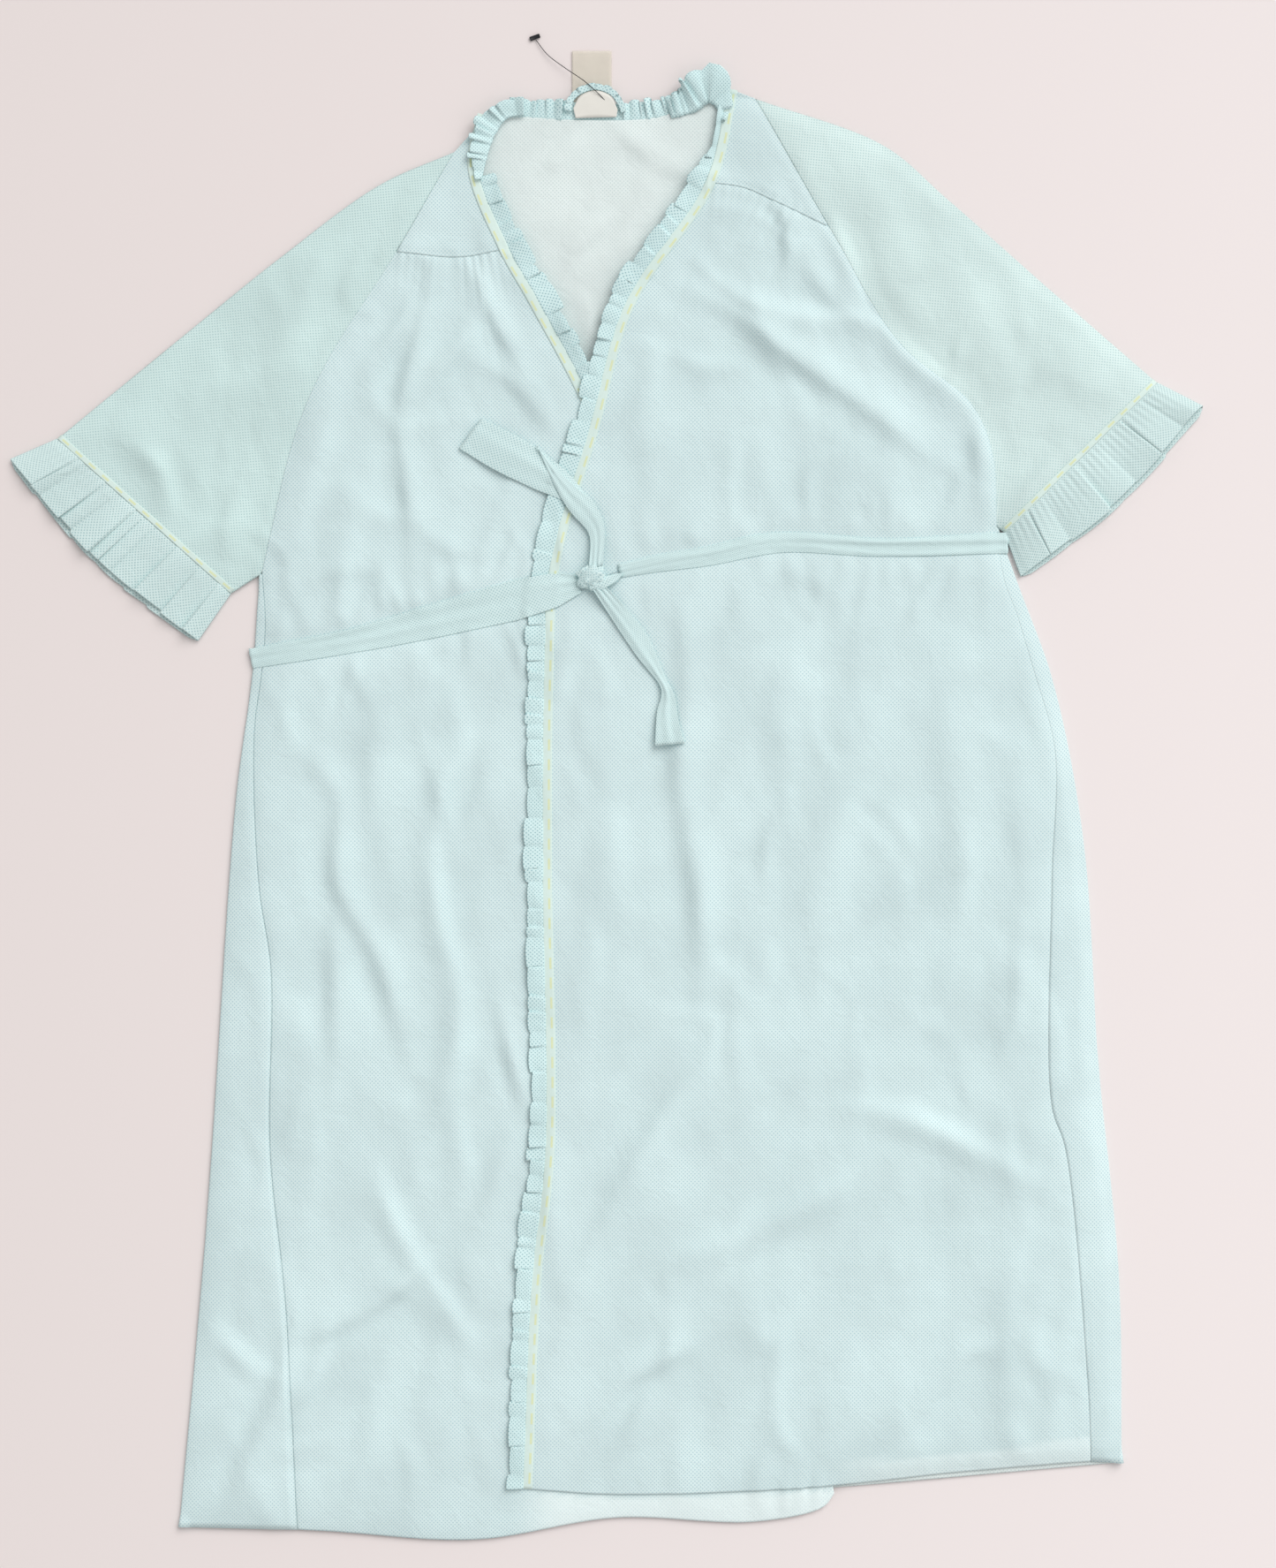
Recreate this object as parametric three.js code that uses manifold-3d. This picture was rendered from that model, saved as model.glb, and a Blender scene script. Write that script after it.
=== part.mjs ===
// Wrap gown with ruffled edges, lying on its back on a flat surface, front side up.
// Millimetres. +X points to the wearer's left, +Y to the neck, +Z up off the surface.
// The cloth is limp, so each layer is a plain flat solid of the right outline, place and order.
import * as THREE from 'three';
import { mergeVertices } from 'three/addons/utils/BufferGeometryUtils.js';
import Module from 'manifold-3d';

const wasm = await Module();
wasm.setup();

// ---------------------------------------------------------------- driving dimensions
const SPAN = 964;              // cuff to cuff, sleeves spread
const LENGTH = 1204;           // care label to lowest hem
const CLOTH = 1.0;             // one layer of cloth with the air its creases hold
const ROOM = 5.2;              // height of the hollow between back and front
const GAP = 0.3;               // between pieces that touch on the gown
const SAME_POINT = 0.0001;     // corners closer than this are one corner
const RUFFLE_WIDTH = 12.5;     // front and neck ruffle
const CUFF_BOW = 9;            // how far the cuff ruffle's free edge bows past its corners
const TAPE_WIDTH = 4.5;        // sewn trim tape
const TAPE_THICKNESS = 0.5;
const TAPE_INSET = 6;          // cloth edge to the middle of the tape
const CUFF_TAPE_INSET = 3.5;   // cuff seam to the middle of the tape
const RIM = 4;                 // width of the cloth that turns up at each side
const BELT_THICKNESS = 0.9;
const BELT_WIDTH = 32;         // where the belt lies open
const BELT_CREASED = 15;       // where it is creased lengthways round the waist
const KNOT_HEIGHT = 7.4;
const LABEL_THICKNESS = 0.4;
const LABEL_WIDTH = 30;
const NECK_LABEL_RISE = 15.5;  // how far the neck label stands past the neck seam
const CARE_LABEL_WIDTH = 31;
const CARE_LABEL_RISE = 53.5;
const FILAMENT_DIAMETER = 0.6;
const FILAMENT_SIDES = 8;
const FILAMENT_STEPS = 40;
const PIN_BAR = [8.6, 3.4, 1.6];
const CROSSBAR = [8, FILAMENT_DIAMETER, FILAMENT_DIAMETER];

// The pattern's points below are drawn for this span and length, and scale with the two above.
const DRAWN_SPAN = 964;
const DRAWN_LENGTH = 1204;

// ---------------------------------------------------------------- heights of the layers
const BELT_CHANNEL = BELT_THICKNESS + GAP;
const BACK_TOP = BELT_CHANNEL + CLOTH;
const RIGHT_FRONT_Z = BACK_TOP + ROOM;
const RIGHT_TAPE_Z = RIGHT_FRONT_Z + CLOTH + GAP;
const LEFT_FRONT_Z = RIGHT_TAPE_Z + TAPE_THICKNESS + GAP;
const LEFT_TAPE_Z = LEFT_FRONT_Z + CLOTH + GAP;
const BELT_Z = LEFT_TAPE_Z + TAPE_THICKNESS + GAP;
const BELT_TOP = BELT_Z + BELT_THICKNESS;
const NECK_RUFFLE_Z = LABEL_THICKNESS + GAP;
const NECK_LABEL_Z = NECK_RUFFLE_Z + CLOTH + CROSSBAR[2] + 2 * GAP;

// ---------------------------------------------------------------- pattern lines
const at = (x, y) => new THREE.Vector2((x * SPAN) / DRAWN_SPAN, (y * LENGTH) / DRAWN_LENGTH);
const straight = (...points) => points.map(([x, y]) => at(x, y));
// three steps between one named point and the next
const STEPS = 3;
function curved(...points) {
  const through = straight(...points).map((p) => new THREE.Vector3(p.x, p.y, 0));
  const line = new THREE.CatmullRomCurve3(through, false, 'centripetal');
  return line.getPoints(STEPS * (points.length - 1)).map((p) => new THREE.Vector2(p.x, p.y));
}

const RIGHT_RAGLAN = curved([-123, 521], [-169, 441], [-226, 351], [-251, 294], [-279, 180]);
const LEFT_RAGLAN = curved([120, 564], [178, 462], [238, 364], [295, 316], [312, 275], [315, 218]);
const RIGHT_SIDE = curved([-279, 180], [-285, 100], [-298, 0], [-323, -356], [-344, -590]);
const LEFT_SIDE = curved([315, 218], [331, 172], [359, 94], [384, -34], [396, -213], [413, -391],
  [415, -538]);
const RIGHT_HEM = curved([-344, -590], [-230, -594], [-105, -601], [9, -583], [120, -586], [184, -563]);
const LEFT_HEM = curved([415, -538], [395, -537], [184, -556], [9, -563], [-68, -558]);
const BACK_HEM = curved([-344, -585], [-100, -575], [150, -556], [415, -533]);
// front edges run from the neck down to the hem; a ruffle is sewn along each
const RIGHT_EDGE = curved([-96, 550], [-104, 509], [-79, 444], [-55, 401], [-12, 319], [36, 190],
  [80, 50], [125, -200], [184, -563]);
const LEFT_EDGE = curved([98, 572], [80, 497], [15, 399], [-14, 299], [-46, 187], [-51, 100],
  [-52, -60], [-50, -284], [-61, -391], [-68, -558]);
const BACK_NECK = curved([-80, 552], [-60, 549], [40, 549], [84, 566]);
const RIGHT_YOKE_SEAM = curved([-169, 441], [-119, 437], [-79, 444]);
const LEFT_YOKE_SEAM = curved([178, 462], [136, 482], [111, 493], [80, 497]);
// each yoke seam starts at a named point of its raglan seam and ends at one of its front edge
const YOKE_STEPS = { right: 2 * STEPS, left: STEPS };
const RAGLAN_STEPS = { right: STEPS, left: STEPS };
// sleeves run from the shoulder down to the cuff
const RIGHT_SHOULDER = straight([-123, 521], [-184, 494], [-262, 437], [-444, 289]);
const RIGHT_UNDERARM = straight([-279, 180], [-304, 164]);
const LEFT_SHOULDER = straight([120, 564], [224, 526], [274, 484], [445, 334]);
const LEFT_UNDERARM = straight([317.5, 219], [322, 213]);
const RIGHT_CUFF_CORNERS = straight([-482, 273], [-330, 126]);
const LEFT_CUFF_CORNERS = straight([482, 316], [334.5, 178]);
// the lower corner of the left front folds back along this line
const CORNER_FOLD = straight([-72, -21], [230, -584]);
// belt: side of the waist to the knot, then the two free tails
const RIGHT_BELT = straight([-285, 112], [-205, 126], [-119, 147], [-27, 171.4]);
const LEFT_BELT = straight([321, 205], [224, 201], [138, 205], [81, 194], [12, 185]);
const BACK_BELT = [RIGHT_BELT[0], LEFT_BELT[0]];
// the faces of the knot that the tails leave
const UPPER_FACE = straight([-15, 197], [-3, 197]);
const LOWER_FACE = straight([4, 167], [-9, 162]);
const UPPER_TAIL = straight([-4, 222], [-17, 245], [-48, 273], [-103, 305], [-119, 284], [-62, 252],
  [-30, 232], [-16, 212]);
const LOWER_TAIL = straight([12, 130], [34, 87], [38, 41], [63, 42], [62, 75], [45, 109], [20, 148]);
const LABEL_X = -8;
const CARE_LABEL_X = -12;
// the tag pin's filament, from its bar to the neck label
const FILAMENT = [[-57.2, 612, 0.9], [-48, 600, 2.2], [-34, 589, 3.6], [-19, 579, 4.2], [-11, 571, 4.4],
  [1, 560, 4.3]];
const PIN_BAR_PLACE = [-58, 614];
const PIN_BAR_TURN = 0.35;

// ---------------------------------------------------------------- helpers
/** The same line moved sideways, to the left of its direction for a positive distance. */
function shifted(line, distance) {
  return line.map((point, i) => {
    const before = line[Math.max(i - 1, 0)];
    const after = line[Math.min(i + 1, line.length - 1)];
    const along = after.clone().sub(before).normalize();
    return new THREE.Vector2(point.x - along.y * distance, point.y + along.x * distance);
  });
}

/** The line moved towards a point. */
function towards(line, distance, point) {
  const side = shifted(line, 1)[0].distanceTo(point) < line[0].distanceTo(point) ? 1 : -1;
  return shifted(line, side * distance);
}

/** The line made longer at both ends. */
function extended(line, by) {
  const [a, b] = line;
  const [y, z] = line.slice(-2);
  const first = a.clone().add(a.clone().sub(b).setLength(by));
  const last = z.clone().add(z.clone().sub(y).setLength(by));
  return [first, ...line, last];
}

const reversed = (line) => [...line].reverse();
const total = (points) => points.reduce((sum, p) => sum.add(p), new THREE.Vector2());
const middle = (points) => total(points).divideScalar(points.length);
const band = (line, a, b) => [...shifted(line, a), ...reversed(shifted(line, b))];

/** A flat solid of this outline, standing on z. */
function slab(outline, z, thickness) {
  const shape = new THREE.Shape(outline);
  return new THREE.ExtrudeGeometry(shape, { depth: thickness, bevelEnabled: false }).translate(0, 0, z);
}

function solid(geometry) {
  const plain = geometry.clone();
  for (const name of ['normal', 'uv']) plain.deleteAttribute(name);
  const merged = mergeVertices(plain, SAME_POINT);
  const vertProperties = new Float32Array(merged.attributes.position.array);
  const triVerts = new Uint32Array(merged.index.array);
  return new wasm.Manifold(new wasm.Mesh({ numProp: 3, vertProperties, triVerts }));
}

function surface(manifold) {
  const mesh = manifold.getMesh();
  const geometry = new THREE.BufferGeometry();
  geometry.setAttribute('position', new THREE.BufferAttribute(new Float32Array(mesh.vertProperties), 3));
  geometry.setIndex(new THREE.BufferAttribute(new Uint32Array(mesh.triVerts), 1));
  return geometry;
}

/** A prism that covers one side of the line from a to b, a little back from it. */
function besideLine([a, b], side) {
  const reach = 2 * LENGTH;
  const near = shifted(extended([a, b], reach), (side * GAP) / 2);
  const far = shifted(near, side * reach);
  return solid(slab([...near, ...reversed(far)], -reach / 2, reach));
}

// ---------------------------------------------------------------- materials
const cloth = (name, color) =>
  Object.assign(new THREE.MeshStandardMaterial({ color, roughness: 0.92, metalness: 0 }), { name });
const backCloth = cloth('back cloth', 0xdbe6e5);
const frontCloth = cloth('front cloth', 0xd2e7e8);
const sleeveCloth = cloth('sleeve cloth', 0xcde2e1);
const ruffleCloth = cloth('ruffle cloth', 0xc3dfde);
const beltCloth = cloth('belt cloth', 0xcbe4e4);
const tape = cloth('woven tape', 0xeef1dd);
const labelSatin = cloth('label satin', 0xdfded7);
const pinBlack = new THREE.MeshStandardMaterial({ color: 0x26282b, roughness: 0.45, metalness: 0 });

const gown = new THREE.Group();

function add(name, geometry, material) {
  const mesh = new THREE.Mesh(geometry, material);
  mesh.name = name;
  gown.add(mesh);
  return mesh;
}

// ---------------------------------------------------------------- body of the gown
const sideWall = (side, inside, top) =>
  solid(slab([...side, ...reversed(towards(side, RIM, inside))], 0, top));

/** The back, with the cloth that turns up at both sides and a shallow channel over the belt. */
function backPanel() {
  const inside = at(0, 0);
  const rightEdge = [...RIGHT_RAGLAN, ...RIGHT_SIDE.slice(1, -1)];
  const leftEdge = [...LEFT_RAGLAN, ...LEFT_SIDE.slice(1, -1)];
  const outline = [...rightEdge, ...BACK_HEM, ...reversed(leftEdge), ...reversed(BACK_NECK)];
  const halfChannel = BELT_CREASED / 2 + GAP;
  const beltRoute = extended(BACK_BELT, 2 * RIM);
  const channel = slab(band(beltRoute, halfChannel, -halfChannel), -GAP, BELT_CHANNEL + GAP);
  return surface(solid(slab(outline, 0, BACK_TOP))
    .add(sideWall(RIGHT_SIDE.slice(0, -1), inside, RIGHT_FRONT_Z - GAP))
    .add(sideWall(LEFT_SIDE.slice(0, -1), inside, LEFT_FRONT_Z - GAP))
    .subtract(solid(channel)));
}

/** The part of a front edge above, or below, its yoke seam. */
const yokePart = (line, steps) => line.slice(0, steps + 1);
const lowerPart = (line, steps) => line.slice(steps);

function rightFront() {
  const edge = lowerPart(RIGHT_EDGE, YOKE_STEPS.right);
  const raglan = lowerPart(RIGHT_RAGLAN, RAGLAN_STEPS.right);
  const top = towards(RIGHT_YOKE_SEAM, GAP, at(-120, 0));
  return slab([...top, ...edge.slice(1), ...reversed(RIGHT_HEM).slice(1, -1), ...reversed(RIGHT_SIDE),
    ...reversed(raglan).slice(1, -1)], RIGHT_FRONT_Z, CLOTH);
}

function rightYoke() {
  const edge = yokePart(RIGHT_EDGE, YOKE_STEPS.right);
  const raglan = yokePart(RIGHT_RAGLAN, RAGLAN_STEPS.right);
  return slab([...edge.slice(0, -1), ...reversed(RIGHT_YOKE_SEAM), ...reversed(raglan).slice(1)],
    RIGHT_FRONT_Z, CLOTH);
}

function leftFront() {
  const edge = lowerPart(LEFT_EDGE, YOKE_STEPS.left);
  const raglan = lowerPart(LEFT_RAGLAN, RAGLAN_STEPS.left);
  const top = towards(LEFT_YOKE_SEAM, GAP, at(100, 0));
  return slab([...top, ...edge.slice(1), ...reversed(LEFT_HEM).slice(1, -1), ...reversed(LEFT_SIDE),
    ...reversed(raglan).slice(1, -1)], LEFT_FRONT_Z, CLOTH);
}

function leftYoke() {
  const edge = yokePart(LEFT_EDGE, YOKE_STEPS.left);
  const raglan = yokePart(LEFT_RAGLAN, RAGLAN_STEPS.left);
  return slab([...edge.slice(0, -1), ...reversed(LEFT_YOKE_SEAM), ...reversed(raglan).slice(1)],
    LEFT_FRONT_Z, CLOTH);
}

add('back_panel', backPanel(), backCloth);
add('right_front_panel', rightFront(), frontCloth);
add('right_front_yoke', rightYoke(), frontCloth);
add('left_front_yoke', leftYoke(), frontCloth);

// ---------------------------------------------------------------- ruffles and tapes of the edges
const ruffle = (edge, side, z) => slab(band(edge, side * GAP, side * (GAP + RUFFLE_WIDTH)), z, CLOTH);
function tapeAlong(edge, side, z) {
  const near = side * (TAPE_INSET - TAPE_WIDTH / 2);
  const far = side * (TAPE_INSET + TAPE_WIDTH / 2);
  return slab(band(edge, near, far), z, TAPE_THICKNESS);
}

add('right_front_ruffle', ruffle(RIGHT_EDGE, 1, RIGHT_FRONT_Z), ruffleCloth);
add('right_front_tape', tapeAlong(RIGHT_EDGE, -1, RIGHT_TAPE_Z), tape);
add('back_neck_ruffle', slab(band(BACK_NECK, GAP, GAP + RUFFLE_WIDTH), NECK_RUFFLE_Z, CLOTH), ruffleCloth);

/** Cuts a piece of the left front along the fold line, into the part that stays and the corner. */
function foldedPiece(geometry, stays, corner, material) {
  const whole = solid(geometry);
  add(stays, surface(whole.intersect(besideLine(CORNER_FOLD, 1))), material);
  add(corner, surface(whole.intersect(besideLine(CORNER_FOLD, -1))), material);
}

foldedPiece(leftFront(), 'left_front_panel', 'left_front_corner', frontCloth);
foldedPiece(ruffle(LEFT_EDGE, -1, LEFT_FRONT_Z), 'left_front_ruffle', 'left_corner_ruffle', ruffleCloth);
foldedPiece(tapeAlong(LEFT_EDGE, 1, LEFT_TAPE_Z), 'left_front_tape', 'left_corner_tape', tape);

// ---------------------------------------------------------------- sleeves
/** A flattened tube of cloth, open at both ends, between two side lines. */
function flatTube(head, sideA, mouth, sideB, top) {
  const centre = middle([...sideA, ...sideB]);
  const outline = [...head, ...sideB.slice(1, -1), ...reversed(mouth), ...reversed(sideA).slice(1, -1)];
  const outer = solid(slab(outline, 0, top));
  const inner = (side) => extended(towards(side, CLOTH, centre), RUFFLE_WIDTH);
  const [hollowA, hollowB] = [inner(sideA), inner(sideB)];
  const hollow = solid(slab([...hollowA, ...reversed(hollowB)], CLOTH, top - 2 * CLOTH));
  return surface(outer.subtract(hollow));
}

/** The free edge of a cuff ruffle, bowed out from the line between its corners. */
function bowed([a, b], away) {
  const chord = [a, middle([a, b]), b];
  const bow = towards(chord, -CUFF_BOW, away)[1];
  return new THREE.SplineCurve([a, bow, b]).getPoints(6);
}

function sleeve(name, { raglan, shoulder, underarm, corners, frontZ, inside }) {
  const top = frontZ + CLOTH;
  const cuff = [shoulder.at(-1), underarm.at(-1)];
  const head = towards(raglan, -GAP, inside);
  const upper = [head[0], ...shoulder.slice(1)];
  const lower = [head.at(-1), ...underarm.slice(1)];
  add(`${name}_sleeve`, flatTube(head, upper, cuff, lower, top), sleeveCloth);
  const ruffleHead = towards(cuff, -GAP, inside);
  const edge = bowed(corners, inside);
  const [upperEnd, lowerEnd] = ruffleHead.map((point, i) => [point, corners[i]]);
  add(`${name}_cuff_ruffle`, flatTube(ruffleHead, upperEnd, edge, lowerEnd, top), ruffleCloth);
  const tapeNear = towards(cuff, CUFF_TAPE_INSET - TAPE_WIDTH / 2, inside);
  const tapeFar = towards(cuff, CUFF_TAPE_INSET + TAPE_WIDTH / 2, inside);
  add(`${name}_cuff_tape`, slab([...tapeNear, ...reversed(tapeFar)], top + GAP, TAPE_THICKNESS), tape);
}

sleeve('right', {
  raglan: RIGHT_RAGLAN,
  shoulder: RIGHT_SHOULDER,
  underarm: RIGHT_UNDERARM,
  corners: RIGHT_CUFF_CORNERS,
  frontZ: RIGHT_FRONT_Z,
  inside: at(0, 350),
});
sleeve('left', {
  raglan: LEFT_RAGLAN,
  shoulder: LEFT_SHOULDER,
  underarm: LEFT_UNDERARM,
  corners: LEFT_CUFF_CORNERS,
  frontZ: LEFT_FRONT_Z,
  inside: at(0, 350),
});

// ---------------------------------------------------------------- belt
/** The two edges of a belt run, creased at the side and openWidth wide at the knot. */
function beltEdges(line, openWidth) {
  const widths = line.map((_, i) => THREE.MathUtils.lerp(BELT_CREASED, openWidth, i / (line.length - 1)));
  return [1, -1].map((sign) => line.map((_, i) => shifted(line, (sign * widths[i]) / 2)[i]));
}

/** A belt run that lies flat to the knot and turns down round the side of the waist. */
function beltRun([left, right], side) {
  const flat = solid(slab([...left, ...reversed(right)], BELT_Z, BELT_THICKNESS));
  const outside = towards(side, -GAP - BELT_THICKNESS, waistMiddle);
  const turn = slab([...outside, ...reversed(towards(side, -GAP, waistMiddle))], 0, BELT_TOP);
  const inside = towards(side, BELT_CREASED, waistMiddle);
  const lap = slab([...outside, ...reversed(inside)], BELT_Z, BELT_THICKNESS);
  return surface(flat.add(solid(turn)).add(solid(lap)));
}

/** The stretch of a side line that the belt passes round, as its two ends. */
function waistStretch(side, centre) {
  const fine = new THREE.SplineCurve(side).getPoints(Math.round(LENGTH / 2));
  const near = fine.filter((p) => Math.abs(p.y - centre.y) <= BELT_CREASED / 2);
  return [near[0], near.at(-1)];
}

const rightWaist = waistStretch(RIGHT_SIDE, RIGHT_BELT[0]);
const leftWaist = waistStretch(LEFT_SIDE, LEFT_BELT[0]);

/** The run under the back, from one side of the waist to the other. */
function backRun() {
  const route = extended(BACK_BELT, BELT_WIDTH);
  const strip = slab(band(route, BELT_CREASED / 2, -BELT_CREASED / 2), 0, BELT_THICKNESS);
  const [fromRight, fromLeft] = [rightWaist, leftWaist].map((side) => extended(side, BELT_WIDTH));
  const between = slab([...fromRight, ...reversed(fromLeft)], -GAP, BELT_THICKNESS + 2 * GAP);
  return surface(solid(strip).intersect(solid(between)));
}

const waistMiddle = at(0, 160);
const rightRun = beltEdges(RIGHT_BELT, BELT_WIDTH);
const leftRun = beltEdges(LEFT_BELT, BELT_CREASED);
const endOf = ([left, right]) => [left.at(-1), right.at(-1)];
const [rightTop, rightBottom] = shifted(endOf(rightRun), GAP);
const [leftBottom, leftTop] = shifted(endOf(leftRun), GAP);
const knot = [rightTop, ...UPPER_FACE, leftTop, leftBottom, ...LOWER_FACE, rightBottom];

add('belt_back_run', backRun(), beltCloth);
add('belt_right_run', beltRun(rightRun, rightWaist), beltCloth);
add('belt_left_run', beltRun(leftRun, leftWaist), beltCloth);
add('belt_knot', slab(knot, BELT_Z, KNOT_HEIGHT), beltCloth);
const beltTail = (face, outline) => slab([...shifted(face, GAP), ...outline], BELT_Z, BELT_THICKNESS);
add('belt_upper_tail', beltTail(UPPER_FACE, UPPER_TAIL), beltCloth);
add('belt_lower_tail', beltTail(LOWER_FACE, LOWER_TAIL), beltCloth);

// ---------------------------------------------------------------- labels and tag pin
const neckSeamY = at(0, 549).y;
const box = ([width, depth, height], x, y, z) =>
  new THREE.BoxGeometry(width, depth, height).translate(x, y, z + height / 2);

add('care_label', box([CARE_LABEL_WIDTH, CARE_LABEL_RISE, LABEL_THICKNESS], CARE_LABEL_X,
  neckSeamY + GAP + CARE_LABEL_RISE / 2, 0), labelSatin);
add('neck_label', box([LABEL_WIDTH, NECK_LABEL_RISE, LABEL_THICKNESS], LABEL_X,
  neckSeamY + NECK_LABEL_RISE / 2, NECK_LABEL_Z), labelSatin);
add('tag_pin_crossbar', box(CROSSBAR, at(1, 0).x, at(0, 560).y, NECK_RUFFLE_Z + CLOTH + GAP), pinBlack);

function filament() {
  const radius = FILAMENT_DIAMETER / 2;
  const points = FILAMENT.map(([x, y, z]) => new THREE.Vector3(...at(x, y).toArray(), z));
  const route = new THREE.CatmullRomCurve3(points);
  const round = new THREE.EllipseCurve(0, 0, radius, radius).getPoints(FILAMENT_SIDES).slice(0, -1);
  return new THREE.ExtrudeGeometry(new THREE.Shape(round), {
    steps: FILAMENT_STEPS,
    bevelEnabled: false,
    extrudePath: route,
  });
}

add('tag_pin_filament', filament(), pinBlack);
const pinBar = new THREE.BoxGeometry(...PIN_BAR).rotateZ(PIN_BAR_TURN);
add('tag_pin_bar', pinBar.translate(...at(...PIN_BAR_PLACE).toArray(), PIN_BAR[2] / 2), pinBlack);

export default gown;
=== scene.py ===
"""Wrap gown with ruffled edges, trim tape, short raglan sleeves and a tied belt, lying on its back.

Lengths in the pattern are millimetres, in the part's frame: +X to the wearer's left, +Y to the neck, +Z up.
Pieces are made in metres. "right" and "left" are the wearer's own.
"""

import math

import bmesh
import bpy
import numpy as np
from mathutils import Matrix, Vector


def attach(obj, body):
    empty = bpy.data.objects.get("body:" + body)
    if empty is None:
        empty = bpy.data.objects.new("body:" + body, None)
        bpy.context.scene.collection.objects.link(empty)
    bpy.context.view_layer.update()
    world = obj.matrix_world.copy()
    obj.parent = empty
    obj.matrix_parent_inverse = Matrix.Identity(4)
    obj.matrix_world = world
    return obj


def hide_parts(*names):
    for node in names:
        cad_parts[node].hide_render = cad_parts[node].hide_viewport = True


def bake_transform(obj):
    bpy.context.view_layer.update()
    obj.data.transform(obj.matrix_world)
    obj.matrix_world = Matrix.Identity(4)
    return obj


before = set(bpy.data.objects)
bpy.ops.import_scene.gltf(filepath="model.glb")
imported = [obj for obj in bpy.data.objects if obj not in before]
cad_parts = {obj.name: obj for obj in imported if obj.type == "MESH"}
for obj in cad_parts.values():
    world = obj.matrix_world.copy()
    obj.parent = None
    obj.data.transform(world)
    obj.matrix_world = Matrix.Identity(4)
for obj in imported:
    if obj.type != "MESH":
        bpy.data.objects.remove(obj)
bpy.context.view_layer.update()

MM = 0.001
CLOTH_THICKNESS = 0.35        # one layer of the cotton
FINE, MEDIUM, COARSE = 4.2, 5.0, 7.0   # spacing of the points of a sheet

# ------------------------------------------------------------------ heights of the layers
FLOOR = -0.4
BACK_HEIGHT = 1.7
EDGE_HEIGHT = 2.5             # of the front where it turns round the side
FRONT_RISE = 4.6              # how much higher it lies away from the sides
LAP_LIFT = 1.3                # left front above the right front
SIDE_ROUND = 15.0             # how far in from the side the cloth keeps rising


# ------------------------------------------------------------------ lines
def curve_through(points, per_span=14):
    """A smooth line through points, which leans towards straight runs where they are far apart."""
    p = np.array(points, float)
    if len(p) < 3:
        return p
    ends = np.vstack([2 * p[0] - p[1], p, 2 * p[-1] - p[-2]])
    knots = np.concatenate([[0], np.cumsum(np.sqrt(np.linalg.norm(np.diff(ends, axis=0), axis=1)))])
    out = []
    for i in range(len(p) - 1):
        k = knots[i:i + 4]
        a, b, c, d = ends[i:i + 4]
        t = np.linspace(k[1], k[2], per_span, endpoint=False)[:, None]
        ab = (k[1] - t) / (k[1] - k[0]) * a + (t - k[0]) / (k[1] - k[0]) * b
        bc = (k[2] - t) / (k[2] - k[1]) * b + (t - k[1]) / (k[2] - k[1]) * c
        cd = (k[3] - t) / (k[3] - k[2]) * c + (t - k[2]) / (k[3] - k[2]) * d
        abc = (k[2] - t) / (k[2] - k[0]) * ab + (t - k[0]) / (k[2] - k[0]) * bc
        bcd = (k[3] - t) / (k[3] - k[1]) * bc + (t - k[1]) / (k[3] - k[1]) * cd
        out.append((k[2] - t) / (k[2] - k[1]) * abc + (t - k[1]) / (k[2] - k[1]) * bcd)
    return np.vstack([*out, p[-1:]])


def lengths_along(line):
    return np.concatenate([[0], np.cumsum(np.linalg.norm(np.diff(line, axis=0), axis=1))])


def length_of(line):
    return lengths_along(line)[-1]


def at_shares(line, shares):
    """The points of a line at shares of its length."""
    s = lengths_along(line)
    return np.stack([np.interp(np.asarray(shares) * s[-1], s, line[:, k]) for k in range(line.shape[1])], axis=1)


def evenly(line, spacing):
    return at_shares(line, np.linspace(0, 1, max(2, int(round(length_of(line) / spacing)) + 1)))


def joined(*lines):
    out = [lines[0]]
    for line in lines[1:]:
        skip = 1 if np.linalg.norm(line[0] - out[-1][-1]) < 0.5 else 0
        out.append(line[skip:])
    return np.vstack(out)


def directions(line):
    along = np.gradient(line[:, :2], axis=0)
    return along / np.linalg.norm(along, axis=1)[:, None]


def beside(line, distance):
    """The line moved to the left of its direction, or to the right for a negative distance."""
    along = directions(line)
    return line[:, :2] + np.stack([-along[:, 1], along[:, 0]], axis=1) * np.asarray(distance)[..., None]


def part_of(line, start, end):
    """The stretch of a line between the points nearest to start and end."""
    i, j = (int(np.argmin(np.linalg.norm(line - np.array(p, float), axis=1))) for p in (start, end))
    return line[i:j + 1] if i <= j else line[j:i + 1][::-1]


RIGHT_RAGLAN = curve_through([(-123, 521), (-169, 441), (-226, 351), (-251, 294), (-279, 180)])
LEFT_RAGLAN = curve_through([(120, 564), (178, 462), (238, 364), (295, 316), (312, 275), (315, 218)])
RIGHT_SIDE = curve_through([(-279, 180), (-285, 100), (-298, 0), (-323, -356), (-344, -590)])
LEFT_SIDE = curve_through([(315, 218), (331, 172), (359, 94), (384, -34), (396, -213), (413, -391), (415, -538)])
RIGHT_HEM = curve_through([(-344, -590), (-230, -594), (-105, -601), (9, -583), (120, -586), (175, -574), (184, -563)])
LEFT_HEM = curve_through([(-68, -558), (9, -563), (184, -556), (280, -546), (395, -537), (415, -538)])
BACK_HEM = curve_through([(-344, -585), (-100, -575), (150, -556), (415, -533)])
RIGHT_EDGE = curve_through([(-96, 550), (-104, 509), (-79, 444), (-55, 401), (-12, 319), (36, 190), (80, 50),
                            (125, -200), (184, -563)])
LEFT_EDGE = curve_through([(98, 572), (80, 497), (15, 399), (-14, 299), (-46, 187), (-51, 100), (-52, -60),
                           (-50, -284), (-61, -391), (-68, -558)])
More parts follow.
